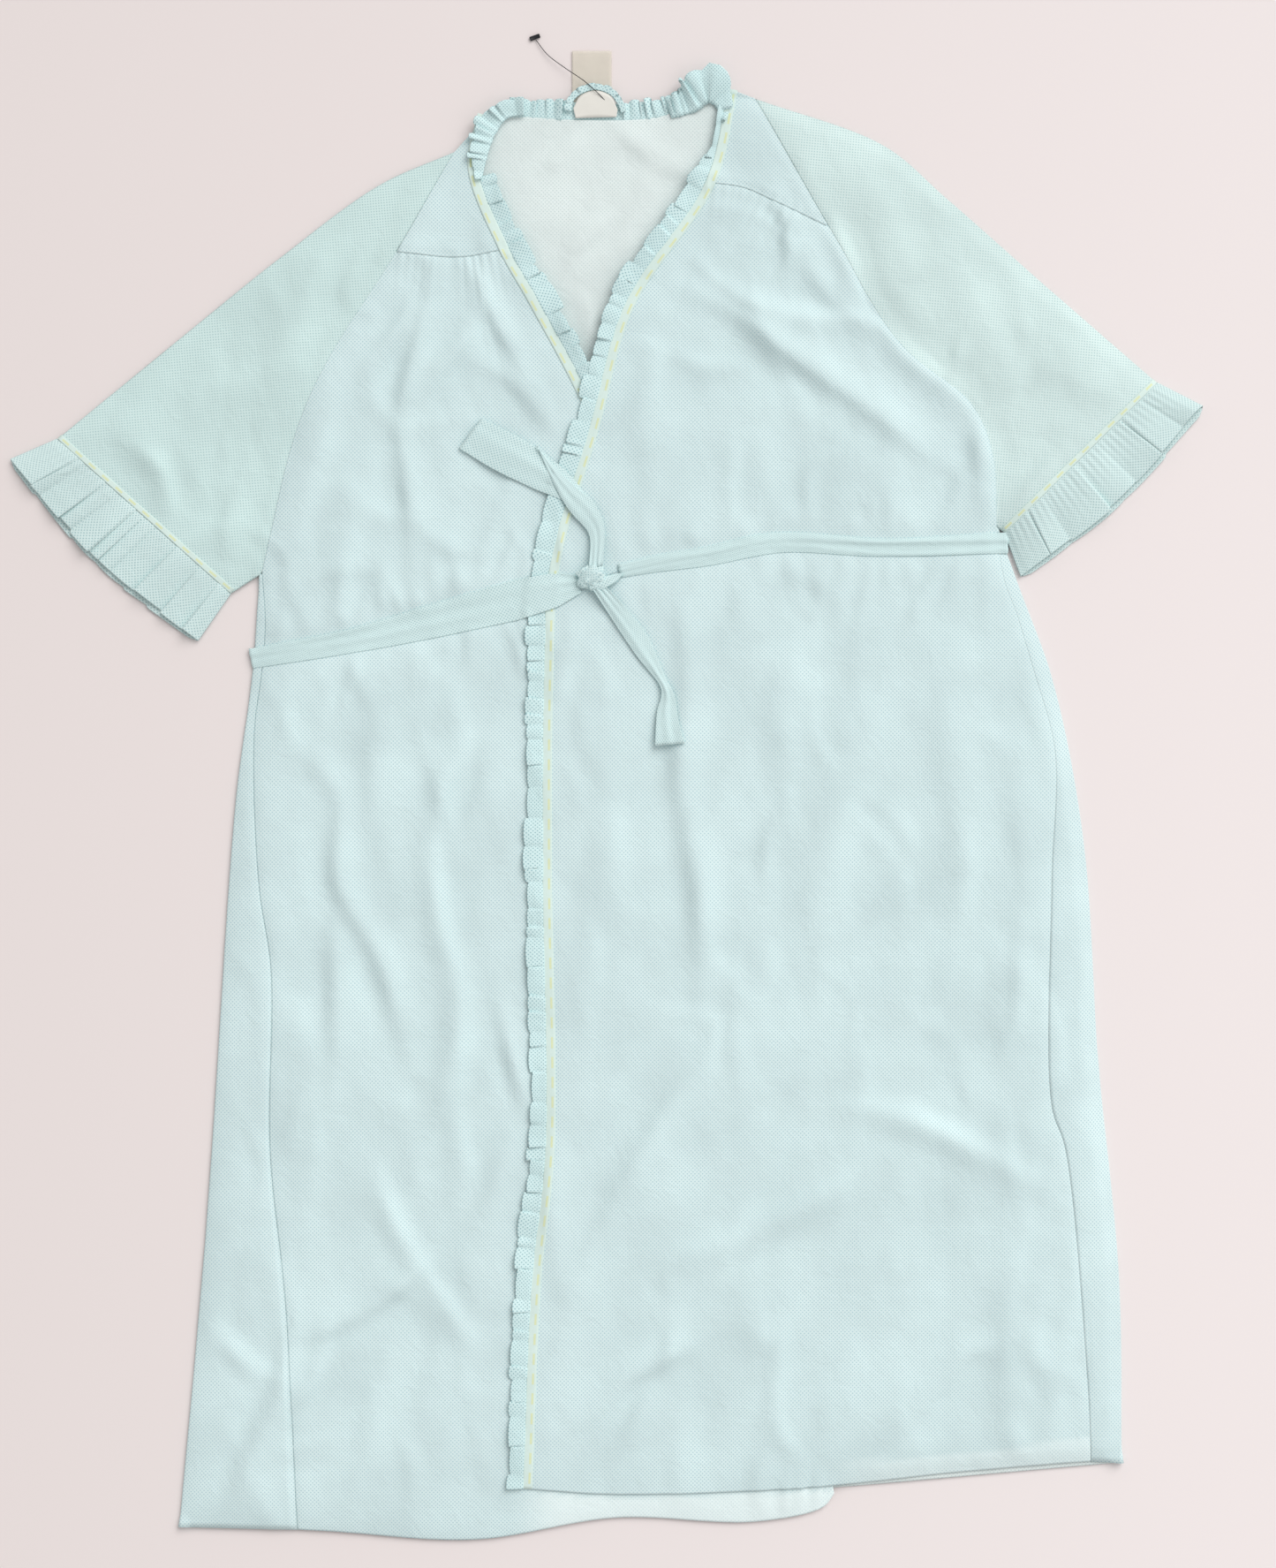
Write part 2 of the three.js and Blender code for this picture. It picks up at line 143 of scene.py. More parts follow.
BACK_NECK = curve_through([(-80, 552), (-60, 549), (40, 549), (84, 566)])
RIGHT_YOKE = curve_through([(-169, 441), (-119, 437), (-79, 444)])
LEFT_YOKE = curve_through([(178, 462), (136, 482), (111, 493), (80, 497)])
RIGHT_SHOULDER = curve_through([(-123, 521), (-184, 494), (-262, 437), (-350, 366), (-444, 289)])
RIGHT_UNDERARM = curve_through([(-279, 180), (-304, 164)])
LEFT_SHOULDER = curve_through([(120, 564), (224, 526), (274, 484), (360, 408), (445, 334)])
LEFT_UNDERARM = curve_through([(315, 218), (322, 213)])
RIGHT_CUFF_FREE = curve_through([(-482, 273), (-411, 191), (-330, 126)])
LEFT_CUFF_FREE = curve_through([(482, 316), (413, 238), (334.5, 178)])
# where the cloth of the back, brought round to the front, is sewn to each front
RIGHT_SIDE_SEAM = curve_through([(-278.5, 180), (-276, 140), (-279, 100), (-285, 51), (-281, -70), (-271, -141),
                                 (-272, -284), (-259, -413), (-250, -592)])
LEFT_SIDE_SEAM = curve_through([(314.5, 218), (322, 172), (330, 151), (345, 101), (362, 37), (359, -70), (359, -249),
                                (370, -284), (388, -470), (391, -537)])
RIGHT_BELT = curve_through([(-285, 112), (-205, 126), (-119, 147), (-60, 162), (-22, 172)])
LEFT_BELT = curve_through([(10, 182), (40, 188), (81, 194), (138, 205), (224, 201), (321, 205)])
WAIST = joined(evenly(np.array([(-49, 162), (-22, 172), (10, 184)], float), 6), LEFT_BELT[8:])

SILHOUETTE = evenly(joined(
    BACK_NECK, LEFT_SHOULDER, LEFT_CUFF_FREE, LEFT_UNDERARM[::-1], LEFT_SIDE,
    LEFT_HEM[::-1][:40], RIGHT_HEM[::-1], RIGHT_SIDE[::-1], RIGHT_UNDERARM, RIGHT_CUFF_FREE[::-1],
    RIGHT_SHOULDER[::-1], BACK_NECK[:1]), 22)


def nearest(points, line):
    """Distance to a line, side of it (+1 on its left), and how far along it the nearest point lies."""
    s = lengths_along(line)
    best = np.full(len(points), 1e9)
    side = np.zeros(len(points))
    along = np.zeros(len(points))
    for i in range(len(line) - 1):
        a, d = line[i], line[i + 1] - line[i]
        size = max(float(d @ d), 1e-9)
        t = np.clip(((points - a) @ d) / size, 0, 1)
        off = points - (a + t[:, None] * d)
        dist = np.hypot(off[:, 0], off[:, 1])
        closer = dist < best
        best = np.where(closer, dist, best)
        side = np.where(closer, np.sign(d[0] * off[:, 1] - d[1] * off[:, 0]), side)
        along = np.where(closer, s[i] + t * math.sqrt(size), along)
    return best, side, along


def smooth_step(x):
    x = np.clip(x, 0, 1)
    return x * x * (3 - 2 * x)


# ------------------------------------------------------------------ creases of the cloth
def soft_noise(seed, size, stretch=1.0, turn=0.0):
    """Smooth random heights from -1 to 1, size mm apart, drawn out along one direction."""
    table = np.random.default_rng(seed).uniform(-1, 1, (64, 64))
    c, s = math.cos(turn), math.sin(turn)

    def height(p):
        x = (p[:, 0] * c + p[:, 1] * s) / size + 200
        y = (-p[:, 0] * s + p[:, 1] * c) / (size * stretch) + 200
        i, j = np.floor(x).astype(int), np.floor(y).astype(int)
        u, v = smooth_step(x - i), smooth_step(y - j)
        corner = lambda di, dj: table[(i + di) % 64, (j + dj) % 64]
        low = corner(0, 0) * (1 - u) + corner(1, 0) * u
        high = corner(0, 1) * (1 - u) + corner(1, 1) * u
        return low * (1 - v) + high * v

    return height


# each crease: the points it runs through, its height and its half width
CREASES = [
    ([(-176, 437), (-155, 441), (-141, 430), (-148, 380), (-166, 309), (-159, 244), (-155, 159)], 3.2, 9),
    ([(-119, 437), (-101, 409), (-112, 373), (-134, 344), (-155, 309)], 3.0, 9),
    ([(-99, 455), (-96, 401), (-62, 337)], 2.4, 8),
    ([(-205, 337), (-176, 366), (-154, 405)], 3.2, 9),
    ([(-119, 359), (-76, 337), (-34, 287)], 2.2, 10),
    ([(-209, 359), (-225, 309), (-244, 244), (-255, 187)], 2.6, 12),
    ([(-62, 273), (-91, 216), (-105, 159)], 2.0, 12),
    ([(-205, 244), (-212, 187), (-234, 144)], 2.0, 14),
    ([(-244, 37), (-216, 1), (-216, -70), (-184, -127), (-166, -184), (-155, -220)], 4.0, 10),
    ([(-134, 94), (-116, 51), (-134, 1), (-141, -41), (-134, -106), (-119, -163), (-123, -241), (-116, -306),
      (-134, -349)], 4.2, 10),
    ([(-219, -84), (-219, -199), (-223, -256)], 3.0, 10),
    ([(-191, -291), (-169, -349), (-148, -384), (-119, -427), (-105, -449)], 3.6, 9),
    ([(-255, -427), (-262, -477), (-284, -527), (-304, -574)], 4.6, 9),
    ([(-319, -427), (-284, -463), (-261, -471)], 3.0, 8),
    ([(-241, -436), (-191, -413), (-155, -384), (-139, -356)], 3.4, 8),
    ([(-225, -427), (-237, -470), (-255, -499)], 2.6, 7),
    ([(-87, -163), (-76, -213), (-64, -256)], 3.2, 7),
    ([(-80, -277), (-91, -320), (-101, -341)], 2.0, 9),
    ([(-184, 94), (-187, 1), (-176, -56)], 2.4, 14),
    ([(-91, -370), (-119, -456), (-134, -556)], 2.4, 16),
    ([(-184, -470), (-191, -527), (-205, -577)], 2.2, 14),
    ([(-284, -141), (-244, -199), (-239, -284), (-244, -370)], 2.4, 14),
    ([(56, 412), (102, 394), (145, 359), (188, 330), (224, 305), (263, 271)], 5.2, 12),
    ([(102, 412), (152, 387), (216, 380), (238, 359), (281, 323), (301, 294), (308, 244)], 3.6, 10),
    ([(131, 484), (145, 466), (147, 421)], 3.2, 8),
    ([(179, 466), (195, 430), (204, 393)], 3.4, 9),
    ([(299, 298), (302, 244), (302, 222)], 3.4, 8),
    ([(63, 509), (113, 487)], 2.0, 10),
    ([(156, 466), (170, 416), (213, 379)], 2.4, 10),
    ([(216, 344), (231, 273), (224, 223)], 2.0, 16),
    ([(38, 373), (31, 301), (41, 230)], 2.0, 18),
    ([(124, 301), (131, 223)], 1.8, 16),
    ([(59, 169), (66, 87), (59, 23), (64, -20), (74, -70), (78, -141), (81, -170)], 4.2, 11),
    ([(224, 87), (195, 16), (181, -41), (166, -102)], 3.0, 18),
    ([(111, -149), (102, -191), (59, -241), (24, -299), (-12, -370), (-34, -420)], 5.0, 16),
    ([(188, -249), (252, -263), (295, -284), (354, -316)], 4.2, 11),
    ([(224, -291), (152, -334), (109, -356), (52, -377)], 3.8, 12),
    ([(74, -440), (24, -463), (-12, -499), (-34, -513)], 3.6, 10),
    ([(39, -470), (18, -513), (-4, -538)], 2.4, 9),
    ([(318, -441), (288, -449), (266, -477), (231, -514)], 3.6, 11),
    ([(-39, -241), (-46, -341), (-32, -413)], 2.0, 9),
    ([(4, 151), (-32, 116), (-39, 73)], 2.6, 9),
    ([(259, 144), (277, 37), (288, -70), (281, -177)], 2.4, 20),
    ([(152, 144), (141, 37), (138, -56)], 2.2, 20),
    ([(331, 30), (338, -70), (331, -177), (338, -284)], 2.4, 14),
    ([(145, -413), (131, -470), (138, -527)], 2.2, 14),
    ([(331, -356), (324, -427), (327, -513)], 2.4, 14),
    ([(9, 73), (2, -13), (9, -113)], 2.0, 18),
    ([(146, -540), (143, -590)], 1.5, 4),
    ([(158, -540), (157, -588)], 2.0, 3.5),
    ([(169, -540), (170, -584)], 1.6, 3),
    ([(-376, 281), (-358, 259), (-354, 226)], 3.4, 9),
    ([(-405, 303), (-348, 266), (-319, 255)], 2.8, 16),
    ([(-326, 330), (-276, 337), (-251, 362)], 2.4, 14),
    ([(-287, 273), (-304, 223), (-306, 187)], 2.4, 12),
    ([(-219, 437), (-248, 380), (-255, 330)], 2.4, 18),
    ([(377, 287), (338, 244), (324, 224)], 2.6, 10),
    ([(281, 430), (309, 373), (324, 316)], 2.2, 18),
    ([(352, 359), (381, 337), (424, 323)], 1.8, 16),
    ([(195, 523), (224, 473), (252, 409)], 2.4, 16),
]
BACK_CREASES = [
    ([(-34, 436), (-11, 457), (11, 473)], 1.6, 7),
    ([(-49, 507), (-34, 523), (-18, 539)], 1.6, 7),
    ([(9, 537), (52, 509), (75, 500)], 1.6, 8),
    ([(-26, 409), (-14, 394), (-11, 359)], 1.2, 6),
    ([(38, 530), (31, 487), (9, 430)], 1.4, 12),
]


def small_creases():
    """Faint creases scattered over the whole gown, upright below the waist and slanting above it."""
    rng = np.random.default_rng(31)
    found = []
    for _ in range(120):
        x, y = rng.uniform(-330, 400), rng.uniform(-580, 520)
        lean = rng.normal(0, 0.3) + (math.pi / 2 if y < 150 else rng.choice([0.9, 2.2]))
        reach = rng.uniform(25, 80)
        bend = rng.normal(0, 0.35)
        step = lambda k: (x + reach * k * math.cos(lean + bend * k), y + reach * k * math.sin(lean + bend * k))
        found.append(([step(-1), step(0), step(1)], rng.uniform(0.5, 1.5), rng.uniform(5, 11)))
    return found


def belt_tucks():
    """Short tucks where the belt gathers the cloth."""
    rng = np.random.default_rng(47)
    found = []
    for line in (RIGHT_BELT, LEFT_BELT):
        for share in np.arange(0.06, 0.96, 0.055):
            p = at_shares(line, [share + rng.uniform(-0.02, 0.02)])[0]
            for way in (-1, 1):
                lean = way * math.pi / 2 + rng.normal(0, 0.3)
                reach = rng.uniform(25, 75)
                start = (p[0] + way * 5 * math.cos(lean), p[1] + way * 8)
                end = (p[0] + reach * math.cos(lean), p[1] + reach * math.sin(lean))
                found.append(([start, end], rng.uniform(0.5, 1.6), rng.uniform(4, 8)))
    return found


def crease_heights(p, creases):
    """The creases added together: each rises from its ends, with a shallow hollow along one side."""
    total = np.zeros(len(p))
    for k, (points, height, width) in enumerate(creases):
        line = evenly(curve_through(points, 6), 14)
        reach = 4 * width
        low, high = line.min(0) - reach, line.max(0) + reach
        near = np.flatnonzero(((p > low) & (p < high)).all(1))
        if not len(near):
            continue
        dist, side, along = nearest(p[near], line)
        share = along / length_of(line)
        fade = np.sin(math.pi * np.clip(share, 0.02, 0.98)) ** 0.6
        fade = fade * (1 + 0.25 * np.sin(along / (1.7 * width) + k))
        way = 1 if k % 2 else -1
        signed = dist * side * way
        narrow = np.where(signed > 0, 0.75 * width, 1.25 * width)
        total[near] += RELIEF * height * fade * (np.exp(-(signed / narrow) ** 2)
                                        - 0.3 * np.exp(-((signed - 1.7 * width) / (1.1 * width)) ** 2))
    return total


def gathers(p, seam, below, reach, pitch, height, seed):
    """Little folds that hang from a gathered seam, square to it, on the side that below gives."""
    dist, side, along = nearest(p, seam)
    wander = np.random.default_rng(seed).uniform(-1, 1, 40)
    phase = along / pitch + 0.5 * np.interp(along / 17.0, np.arange(40), wander)
    inside = (along > 1) & (along < length_of(seam) - 1)
    reached = np.where(side == below, np.exp(-(dist / reach) ** 1.3), np.exp(-(dist / 4) ** 2))
    uneven = 0.65 + 0.35 * np.sin(phase * 0.7 + seed)
    return height * inside * reached * uneven * (0.5 + 0.5 * np.sin(2 * math.pi * phase))


def groove(p, seam, width=3.6):
    dist, _, _ = nearest(p, seam)
    return np.exp(-(dist / width) ** 2)


ALL_CREASES = CREASES + small_creases() + belt_tucks()
CRUMPLES = [(soft_noise(3, 95, 1.8, 0.1), 1.5), (soft_noise(5, 48, 1.6, -0.2), 0.9),
            (soft_noise(7, 22, 1.5, 0.3), 0.42), (soft_noise(9, 12, 1.3, -0.4), 0.16)]
RELIEF = 1.1                  # every crease and crumple stands this much higher than it is listed
SEAMS = [evenly(line, 12) for line in (RIGHT_RAGLAN, LEFT_RAGLAN, RIGHT_YOKE, LEFT_YOKE)]
SIDE_SEAMS = [evenly(line, 20) for line in (RIGHT_SIDE_SEAM, LEFT_SIDE_SEAM)]
BELTS = [evenly(line, 20) for line in (RIGHT_BELT, LEFT_BELT)]
LEFT_FREE = evenly(joined(LEFT_EDGE, LEFT_HEM[:28]), 16)


def crumple(p):
    total = np.zeros(len(p))
    for noise, height in CRUMPLES:
        total += RELIEF * height * (np.abs(noise(p)) ** 0.8 * 1.3 - 0.45)
    return total


def folds(p):
    """Height of the front's folds above its even surface. Never far below it."""
    z = crease_heights(p, ALL_CREASES) + crumple(p)
    z += gathers(p, SEAMS[2], -1, 26, 7.5, 0.9, 2)
    z += gathers(p, SEAMS[3], 1, 30, 8.5, 1.0, 5)
    pressed = np.zeros(len(p))
    for belt in BELTS:
        dist, _, _ = nearest(p, belt)
        pressed = np.maximum(pressed, np.exp(-(dist / 13) ** 2))
    z = z * (1 - 0.85 * pressed) - 1.4 * pressed
    for seam in SEAMS:
        z -= 0.9 * groove(p, seam)
    for seam in SIDE_SEAMS:
        z -= 0.8 * groove(p, seam)
    return np.maximum(z, -1.2)


def in_left_front(p):
    """How far inside the left front's free edges a point lies, negative outside."""
    dist, side, _ = nearest(p, LEFT_FREE)
    return dist * np.where(side > 0, 1, -1)


def inset_from_sides(p):
    return nearest(p, SILHOUETTE)[0]


def right_height(p, w=None):
    """Top of the right front, and of the right sleeve."""
    d = inset_from_sides(p)
    w = folds(p) if w is None else w
    inside = in_left_front(p)
    hidden = smooth_step(inside / 30)
    rise = 1 - np.exp(-d / SIDE_ROUND)
    return EDGE_HEIGHT + FRONT_RISE * rise + w * (1 - 0.8 * hidden) * (0.25 + 0.75 * rise) - 0.6 * hidden


def left_height(p):
    """Top of the left front, and of the left sleeve."""
    w = folds(p)
    d = inset_from_sides(p)
    inside = in_left_front(p)
    below = right_height(p, w)
    hidden = smooth_step(inside / 30)
    rise = 1 - np.exp(-d / SIDE_ROUND)
    lift = 0.7 + (LAP_LIFT - 0.7 + 0.8 * (1 - np.exp(-np.maximum(inside, 0) / 25))) * smooth_step(d / 12)
    return below + lift + w * 0.8 * hidden * (0.25 + 0.75 * rise) + 0.6 * hidden


def top_height(p):
    """Top of whatever cloth lies uppermost."""
    on_left = in_left_front(p) > 0
    far_left = p[:, 0] > 130
    return np.where(on_left | far_left, left_height(p), right_height(p))


def back_height(p):
    z = BACK_HEIGHT + 0.35 * soft_noise(13, 60)(p)
    open_neck = smooth_step((p[:, 1] - 330) / 60) * smooth_step((150 - np.abs(p[:, 0] + 5)) / 60)
    z += open_neck * (1.3 * crease_heights(p, BACK_CREASES) + 0.6 * crumple(p) + 0.5)
    return np.clip(z, 1.0, 4.6)


# ------------------------------------------------------------------ sheets
def patch(bottom, top, left, right, across, up):
    """Points inside four lines that meet at their ends, at shares across and up. Rows run up the patch."""
    u, v = np.asarray(across)[None, :, None], np.asarray(up)[:, None, None]
    b, t = at_shares(bottom, across)[None], at_shares(top, across)[None]
    l, r = at_shares(left, up)[:, None], at_shares(right, up)[:, None]
    corners = ((1 - u) * (1 - v) * bottom[0] + u * (1 - v) * bottom[-1] + (1 - u) * v * top[0] + u * v * top[-1])
    return (1 - v) * b + v * t + (1 - u) * l + u * r - corners


def close_at_ends(count, first=(), last=()):
    """Even shares from 0 to 1, with extra ones near either end."""
    return np.unique(np.concatenate([np.linspace(0, 1, count), np.asarray(first, float), 1 - np.asarray(last, float)]))


def sheet(name, rows, pattern, material, thickness=CLOTH_THICKNESS, closed=False, pale=None, under=None):
    """A piece of cloth from rows of points in mm. pattern is where each point lies on the cut cloth, in mm.

    under is the material of its other face, where that differs."""
    ny, nx = rows.shape[:2]
    bm = bmesh.new()
    bmesh.ops.create_grid(bm, x_segments=nx - 1, y_segments=ny - 1, size=1.0)
    mesh = bpy.data.meshes.new(name)
    bm.to_mesh(mesh)
    bm.free()
    co = np.zeros(len(mesh.vertices) * 3, np.float32)
    mesh.vertices.foreach_get("co", co)
    co = co.reshape(-1, 3)
    i = np.rint((co[:, 0] + 1) / 2 * (nx - 1)).astype(int)
    j = np.rint((co[:, 1] + 1) / 2 * (ny - 1)).astype(int)
    mesh.vertices.foreach_set("co", (rows[j, i] * MM).astype(np.float32).ravel())
    if pale is not None:
        mesh.attributes.new("pale", "FLOAT", "POINT").data.foreach_set("value", pale[j, i].astype(np.float32).ravel())
    corner = np.zeros(len(mesh.loops), np.int32)
    mesh.loops.foreach_get("vertex_index", corner)
    layer = mesh.uv_layers.new(name="pattern")
    layer.data.foreach_set("uv", (pattern[j, i] * MM)[corner].astype(np.float32).ravel())
    if closed:
        bm = bmesh.new()
        bm.from_mesh(mesh)
        bmesh.ops.remove_doubles(bm, verts=bm.verts, dist=0.02 * MM)
        bm.to_mesh(mesh)
        bm.free()
    mesh.polygons.foreach_set("use_smooth", np.ones(len(mesh.polygons), bool))
    mesh.update()
    piece = bpy.data.objects.new(name, mesh)
    bpy.context.scene.collection.objects.link(piece)
    piece.data.materials.append(material)
    if thickness:
        wall = piece.modifiers.new("thickness", "SOLIDIFY")
        wall.thickness = thickness * MM
        wall.offset = -1
        wall.use_even_offset = False
        if under is not None:
            piece.data.materials.append(under)
            wall.material_offset = wall.material_offset_rim = 1
    return piece


def lay(flat_rows, height):
    """Gives flat points their heights."""
    p = flat_rows.reshape(-1, 2)
    z = height(p)
    return np.concatenate([p, z[:, None]], axis=1).reshape(*flat_rows.shape[:2], 3)


def settle(piece, body, nodes):
    """Hangs a piece on the body a string names; given a fold band instead, the piece stays where it is, on no body.
    Hides the CAD pieces it stands for.
    """
    if isinstance(body, str):
        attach(piece, body)
    else:
        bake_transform(piece)
    if nodes:
        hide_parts(*nodes)
    return piece


def declare(piece, body, nodes):
    """Settles a sheet of cloth."""
    settle(piece, body, nodes)
    return piece


# ------------------------------------------------------------------ bands where cloth turns with a joint
def band(point, along, start, end, height):
    """Start and end points of a blend beside a fold line. Distances are to the left of the line's direction."""
    along = np.array(along, float) / np.linalg.norm(along)
    out = np.array([-along[1], along[0]])
    place = lambda d: tuple((np.array([*(np.array(point) + out * d), height])) * MM)
    return place(start), place(end)


RIGHT_FOLD = ("torso", "right_sleeve", *band((-121, 520), (-0.416, -0.9093), 2, -24, 11.5))
LEFT_FOLD = ("torso", "left_sleeve", *band((117, 566), (-0.4997, 0.8662), 0, -26, 12.5))
CORNER_TURN = ("torso", "front_corner", *band((-72, -21), (-0.4727, 0.8812), -8, 14, 11.5))
UPPER_TAIL_TURN = ("torso", "upper_tail", (-0.009, 0.191, 0.012), (-0.009, 0.206, 0.012))
LOWER_TAIL_TURN = ("torso", "lower_tail", (-0.004, 0.1685, 0.012), (0.0022, 0.1525, 0.012))


# ------------------------------------------------------------------ materials
def linear(r, g, b):
    f = lambda c: c / 255 / 12.92 if c / 255 <= 0.04045 else ((c / 255 + 0.055) / 1.055) ** 2.4
    return (f(r), f(g), f(b), 1.0)


class Wires:
    """Short names for making and joining shader nodes in one node tree."""

    def __init__(self, tree):
        self.tree = tree

    def node(self, kind, **values):
        made = self.tree.nodes.new(kind)
        for name, value in values.items():
            setattr(made, name, value)
        return made

    def join(self, source, target):
        self.tree.links.new(source, target)

    def maths(self, operation, a, b=None, c=None):
        made = self.node("ShaderNodeMath", operation=operation)
        for i, value in enumerate((a, b, c)):
            if value is None:
                continue
            if hasattr(value, "is_output"):
                self.join(value, made.inputs[i])
            else:
                made.inputs[i].default_value = value
        return made.outputs[0]

    def vector(self, operation, a, b=None):
        made = self.node("ShaderNodeVectorMath", operation=operation)
        for i, value in enumerate((a, b)):
            if value is None:
                continue
            if hasattr(value, "is_output"):
                self.join(value, made.inputs[i])
            else:
                made.inputs[i].default_value = value
        return made.outputs["Value" if operation in ("LENGTH", "DISTANCE") else "Vector"]

    def mix(self, share, a, b):
        made = self.node("ShaderNodeMix", data_type="RGBA")
        for socket, value in zip((made.inputs[0], made.inputs[6], made.inputs[7]), (share, a, b)):
            if hasattr(value, "is_output"):
                self.join(value, socket)
            else:
                socket.default_value = value
        return made.outputs[2]


def node_group(name, inputs, outputs):
    """An empty shader node group with these sockets: (name, kind, value)."""
    tree = bpy.data.node_groups.new(name, "ShaderNodeTree")
    for label, kind, value in inputs:
        socket = tree.interface.new_socket(label, in_out="INPUT", socket_type=kind)
        if value is not None:
            socket.default_value = value
    for label, kind in outputs:
        tree.interface.new_socket(label, in_out="OUTPUT", socket_type=kind)
    wires = Wires(tree)
    return tree, wires, wires.node("NodeGroupInput"), wires.node("NodeGroupOutput")


def printed_dots():
    """Small dots on a staggered grid: a mask that is 1 in a dot."""
    tree, w, given, out = node_group(
        "printed_dots",
        [("Pattern", "NodeSocketVector", None), ("Pitch", "NodeSocketFloat", 3.1 * MM),
         ("Radius", "NodeSocketFloat", 0.17), ("Softness", "NodeSocketFloat", 0.07)],
        [("Dot", "NodeSocketFloat")])
    grid = w.vector("DIVIDE", given.outputs["Pattern"], None)
    pitch = w.node("ShaderNodeCombineXYZ")
    for i in range(3):
        w.join(given.outputs["Pitch"], pitch.inputs[i])
    w.join(pitch.outputs[0], grid.node.inputs[1])
    flat = w.vector("MULTIPLY", grid, (1, 1, 0))
    offsets = []
    for shift in ((0, 0, 0), (0.5, 0.5, 0)):
        cell = w.vector("FRACTION", w.vector("ADD", flat, shift))
        offsets.append(w.vector("LENGTH", w.vector("SUBTRACT", w.vector("MULTIPLY", cell, (1, 1, 0)), (0.5, 0.5, 0))))
    near = w.maths("MINIMUM", offsets[0], offsets[1])
    edge = w.maths("DIVIDE", w.maths("SUBTRACT", given.outputs["Radius"], near), given.outputs["Softness"])
    dot = w.node("ShaderNodeClamp")
    w.join(w.maths("ADD", edge, 0.5), dot.inputs[0])
    w.join(dot.outputs[0], out.inputs["Dot"])
    return tree


def plain_weave():
    """Height of a plain weave with slightly uneven threads."""
    tree, w, given, out = node_group(
        "plain_weave", [("Pattern", "NodeSocketVector", None), ("Threads", "NodeSocketFloat", 2600.0)],
        [("Height", "NodeSocketFloat"), ("Slub", "NodeSocketFloat")])
    axes = w.node("ShaderNodeSeparateXYZ")
    w.join(given.outputs["Pattern"], axes.inputs[0])
    waves = []
    for axis in (0, 1):
        turned = w.maths("MULTIPLY", axes.outputs[axis], given.outputs["Threads"])
        waves.append(w.maths("SINE", w.maths("MULTIPLY", turned, 2 * math.pi)))
    cross = w.maths("MULTIPLY", waves[0], waves[1])
    slub = w.node("ShaderNodeTexNoise")
    slub.inputs["Scale"].default_value = 900
    slub.inputs["Detail"].default_value = 2
    w.join(w.vector("MULTIPLY", given.outputs["Pattern"], (1, 0.12, 1)), slub.inputs["Vector"])
    w.join(w.maths("ADD", w.maths("MULTIPLY", cross, 0.35), slub.outputs["Fac"]), out.inputs["Height"])
    w.join(slub.outputs["Fac"], out.inputs["Slub"])
    return tree


def crinkle():
    """Fine creases of washed cotton: a height, and a mask of where the cloth is a little thicker in tone."""
    tree, w, given, out = node_group(
        "crinkle", [("Place", "NodeSocketVector", None), ("Scale", "NodeSocketFloat", 60.0)],
        [("Height", "NodeSocketFloat"), ("Cloud", "NodeSocketFloat")])
    fine = w.node("ShaderNodeTexNoise")
    fine.inputs["Detail"].default_value = 4
    fine.inputs["Roughness"].default_value = 0.55
    fine.inputs["Distortion"].default_value = 0.6
    w.join(given.outputs["Place"], fine.inputs["Vector"])
    w.join(given.outputs["Scale"], fine.inputs["Scale"])
    ridge = w.maths("ABSOLUTE", w.maths("SUBTRACT", fine.outputs["Fac"], 0.5))
    cloud = w.node("ShaderNodeTexNoise")
    cloud.inputs["Scale"].default_value = 14
    cloud.inputs["Detail"].default_value = 3
    w.join(given.outputs["Place"], cloud.inputs["Vector"])
    w.join(ridge, out.inputs["Height"])
    w.join(cloud.outputs["Fac"], out.inputs["Cloud"])
    return tree


DOTS, WEAVE, CRINKLE = printed_dots(), plain_weave(), crinkle()


def placed(w, group, **values):
    made = w.node("ShaderNodeGroup")
    made.node_tree = group
    for name, value in values.items():
        socket = made.inputs[name]
        if hasattr(value, "is_output"):
            w.join(value, socket)
        else:
            socket.default_value = value
    return made


def new_material(name, color, roughness):
    material = bpy.data.materials.new(name)
    material.use_nodes = True
    w = Wires(material.node_tree)
    shader = material.node_tree.nodes["Principled BSDF"]
    shader.inputs["Base Color"].default_value = color
    shader.inputs["Roughness"].default_value = roughness
    shader.inputs["Specular IOR Level"].default_value = 0.25
    return material, w, shader


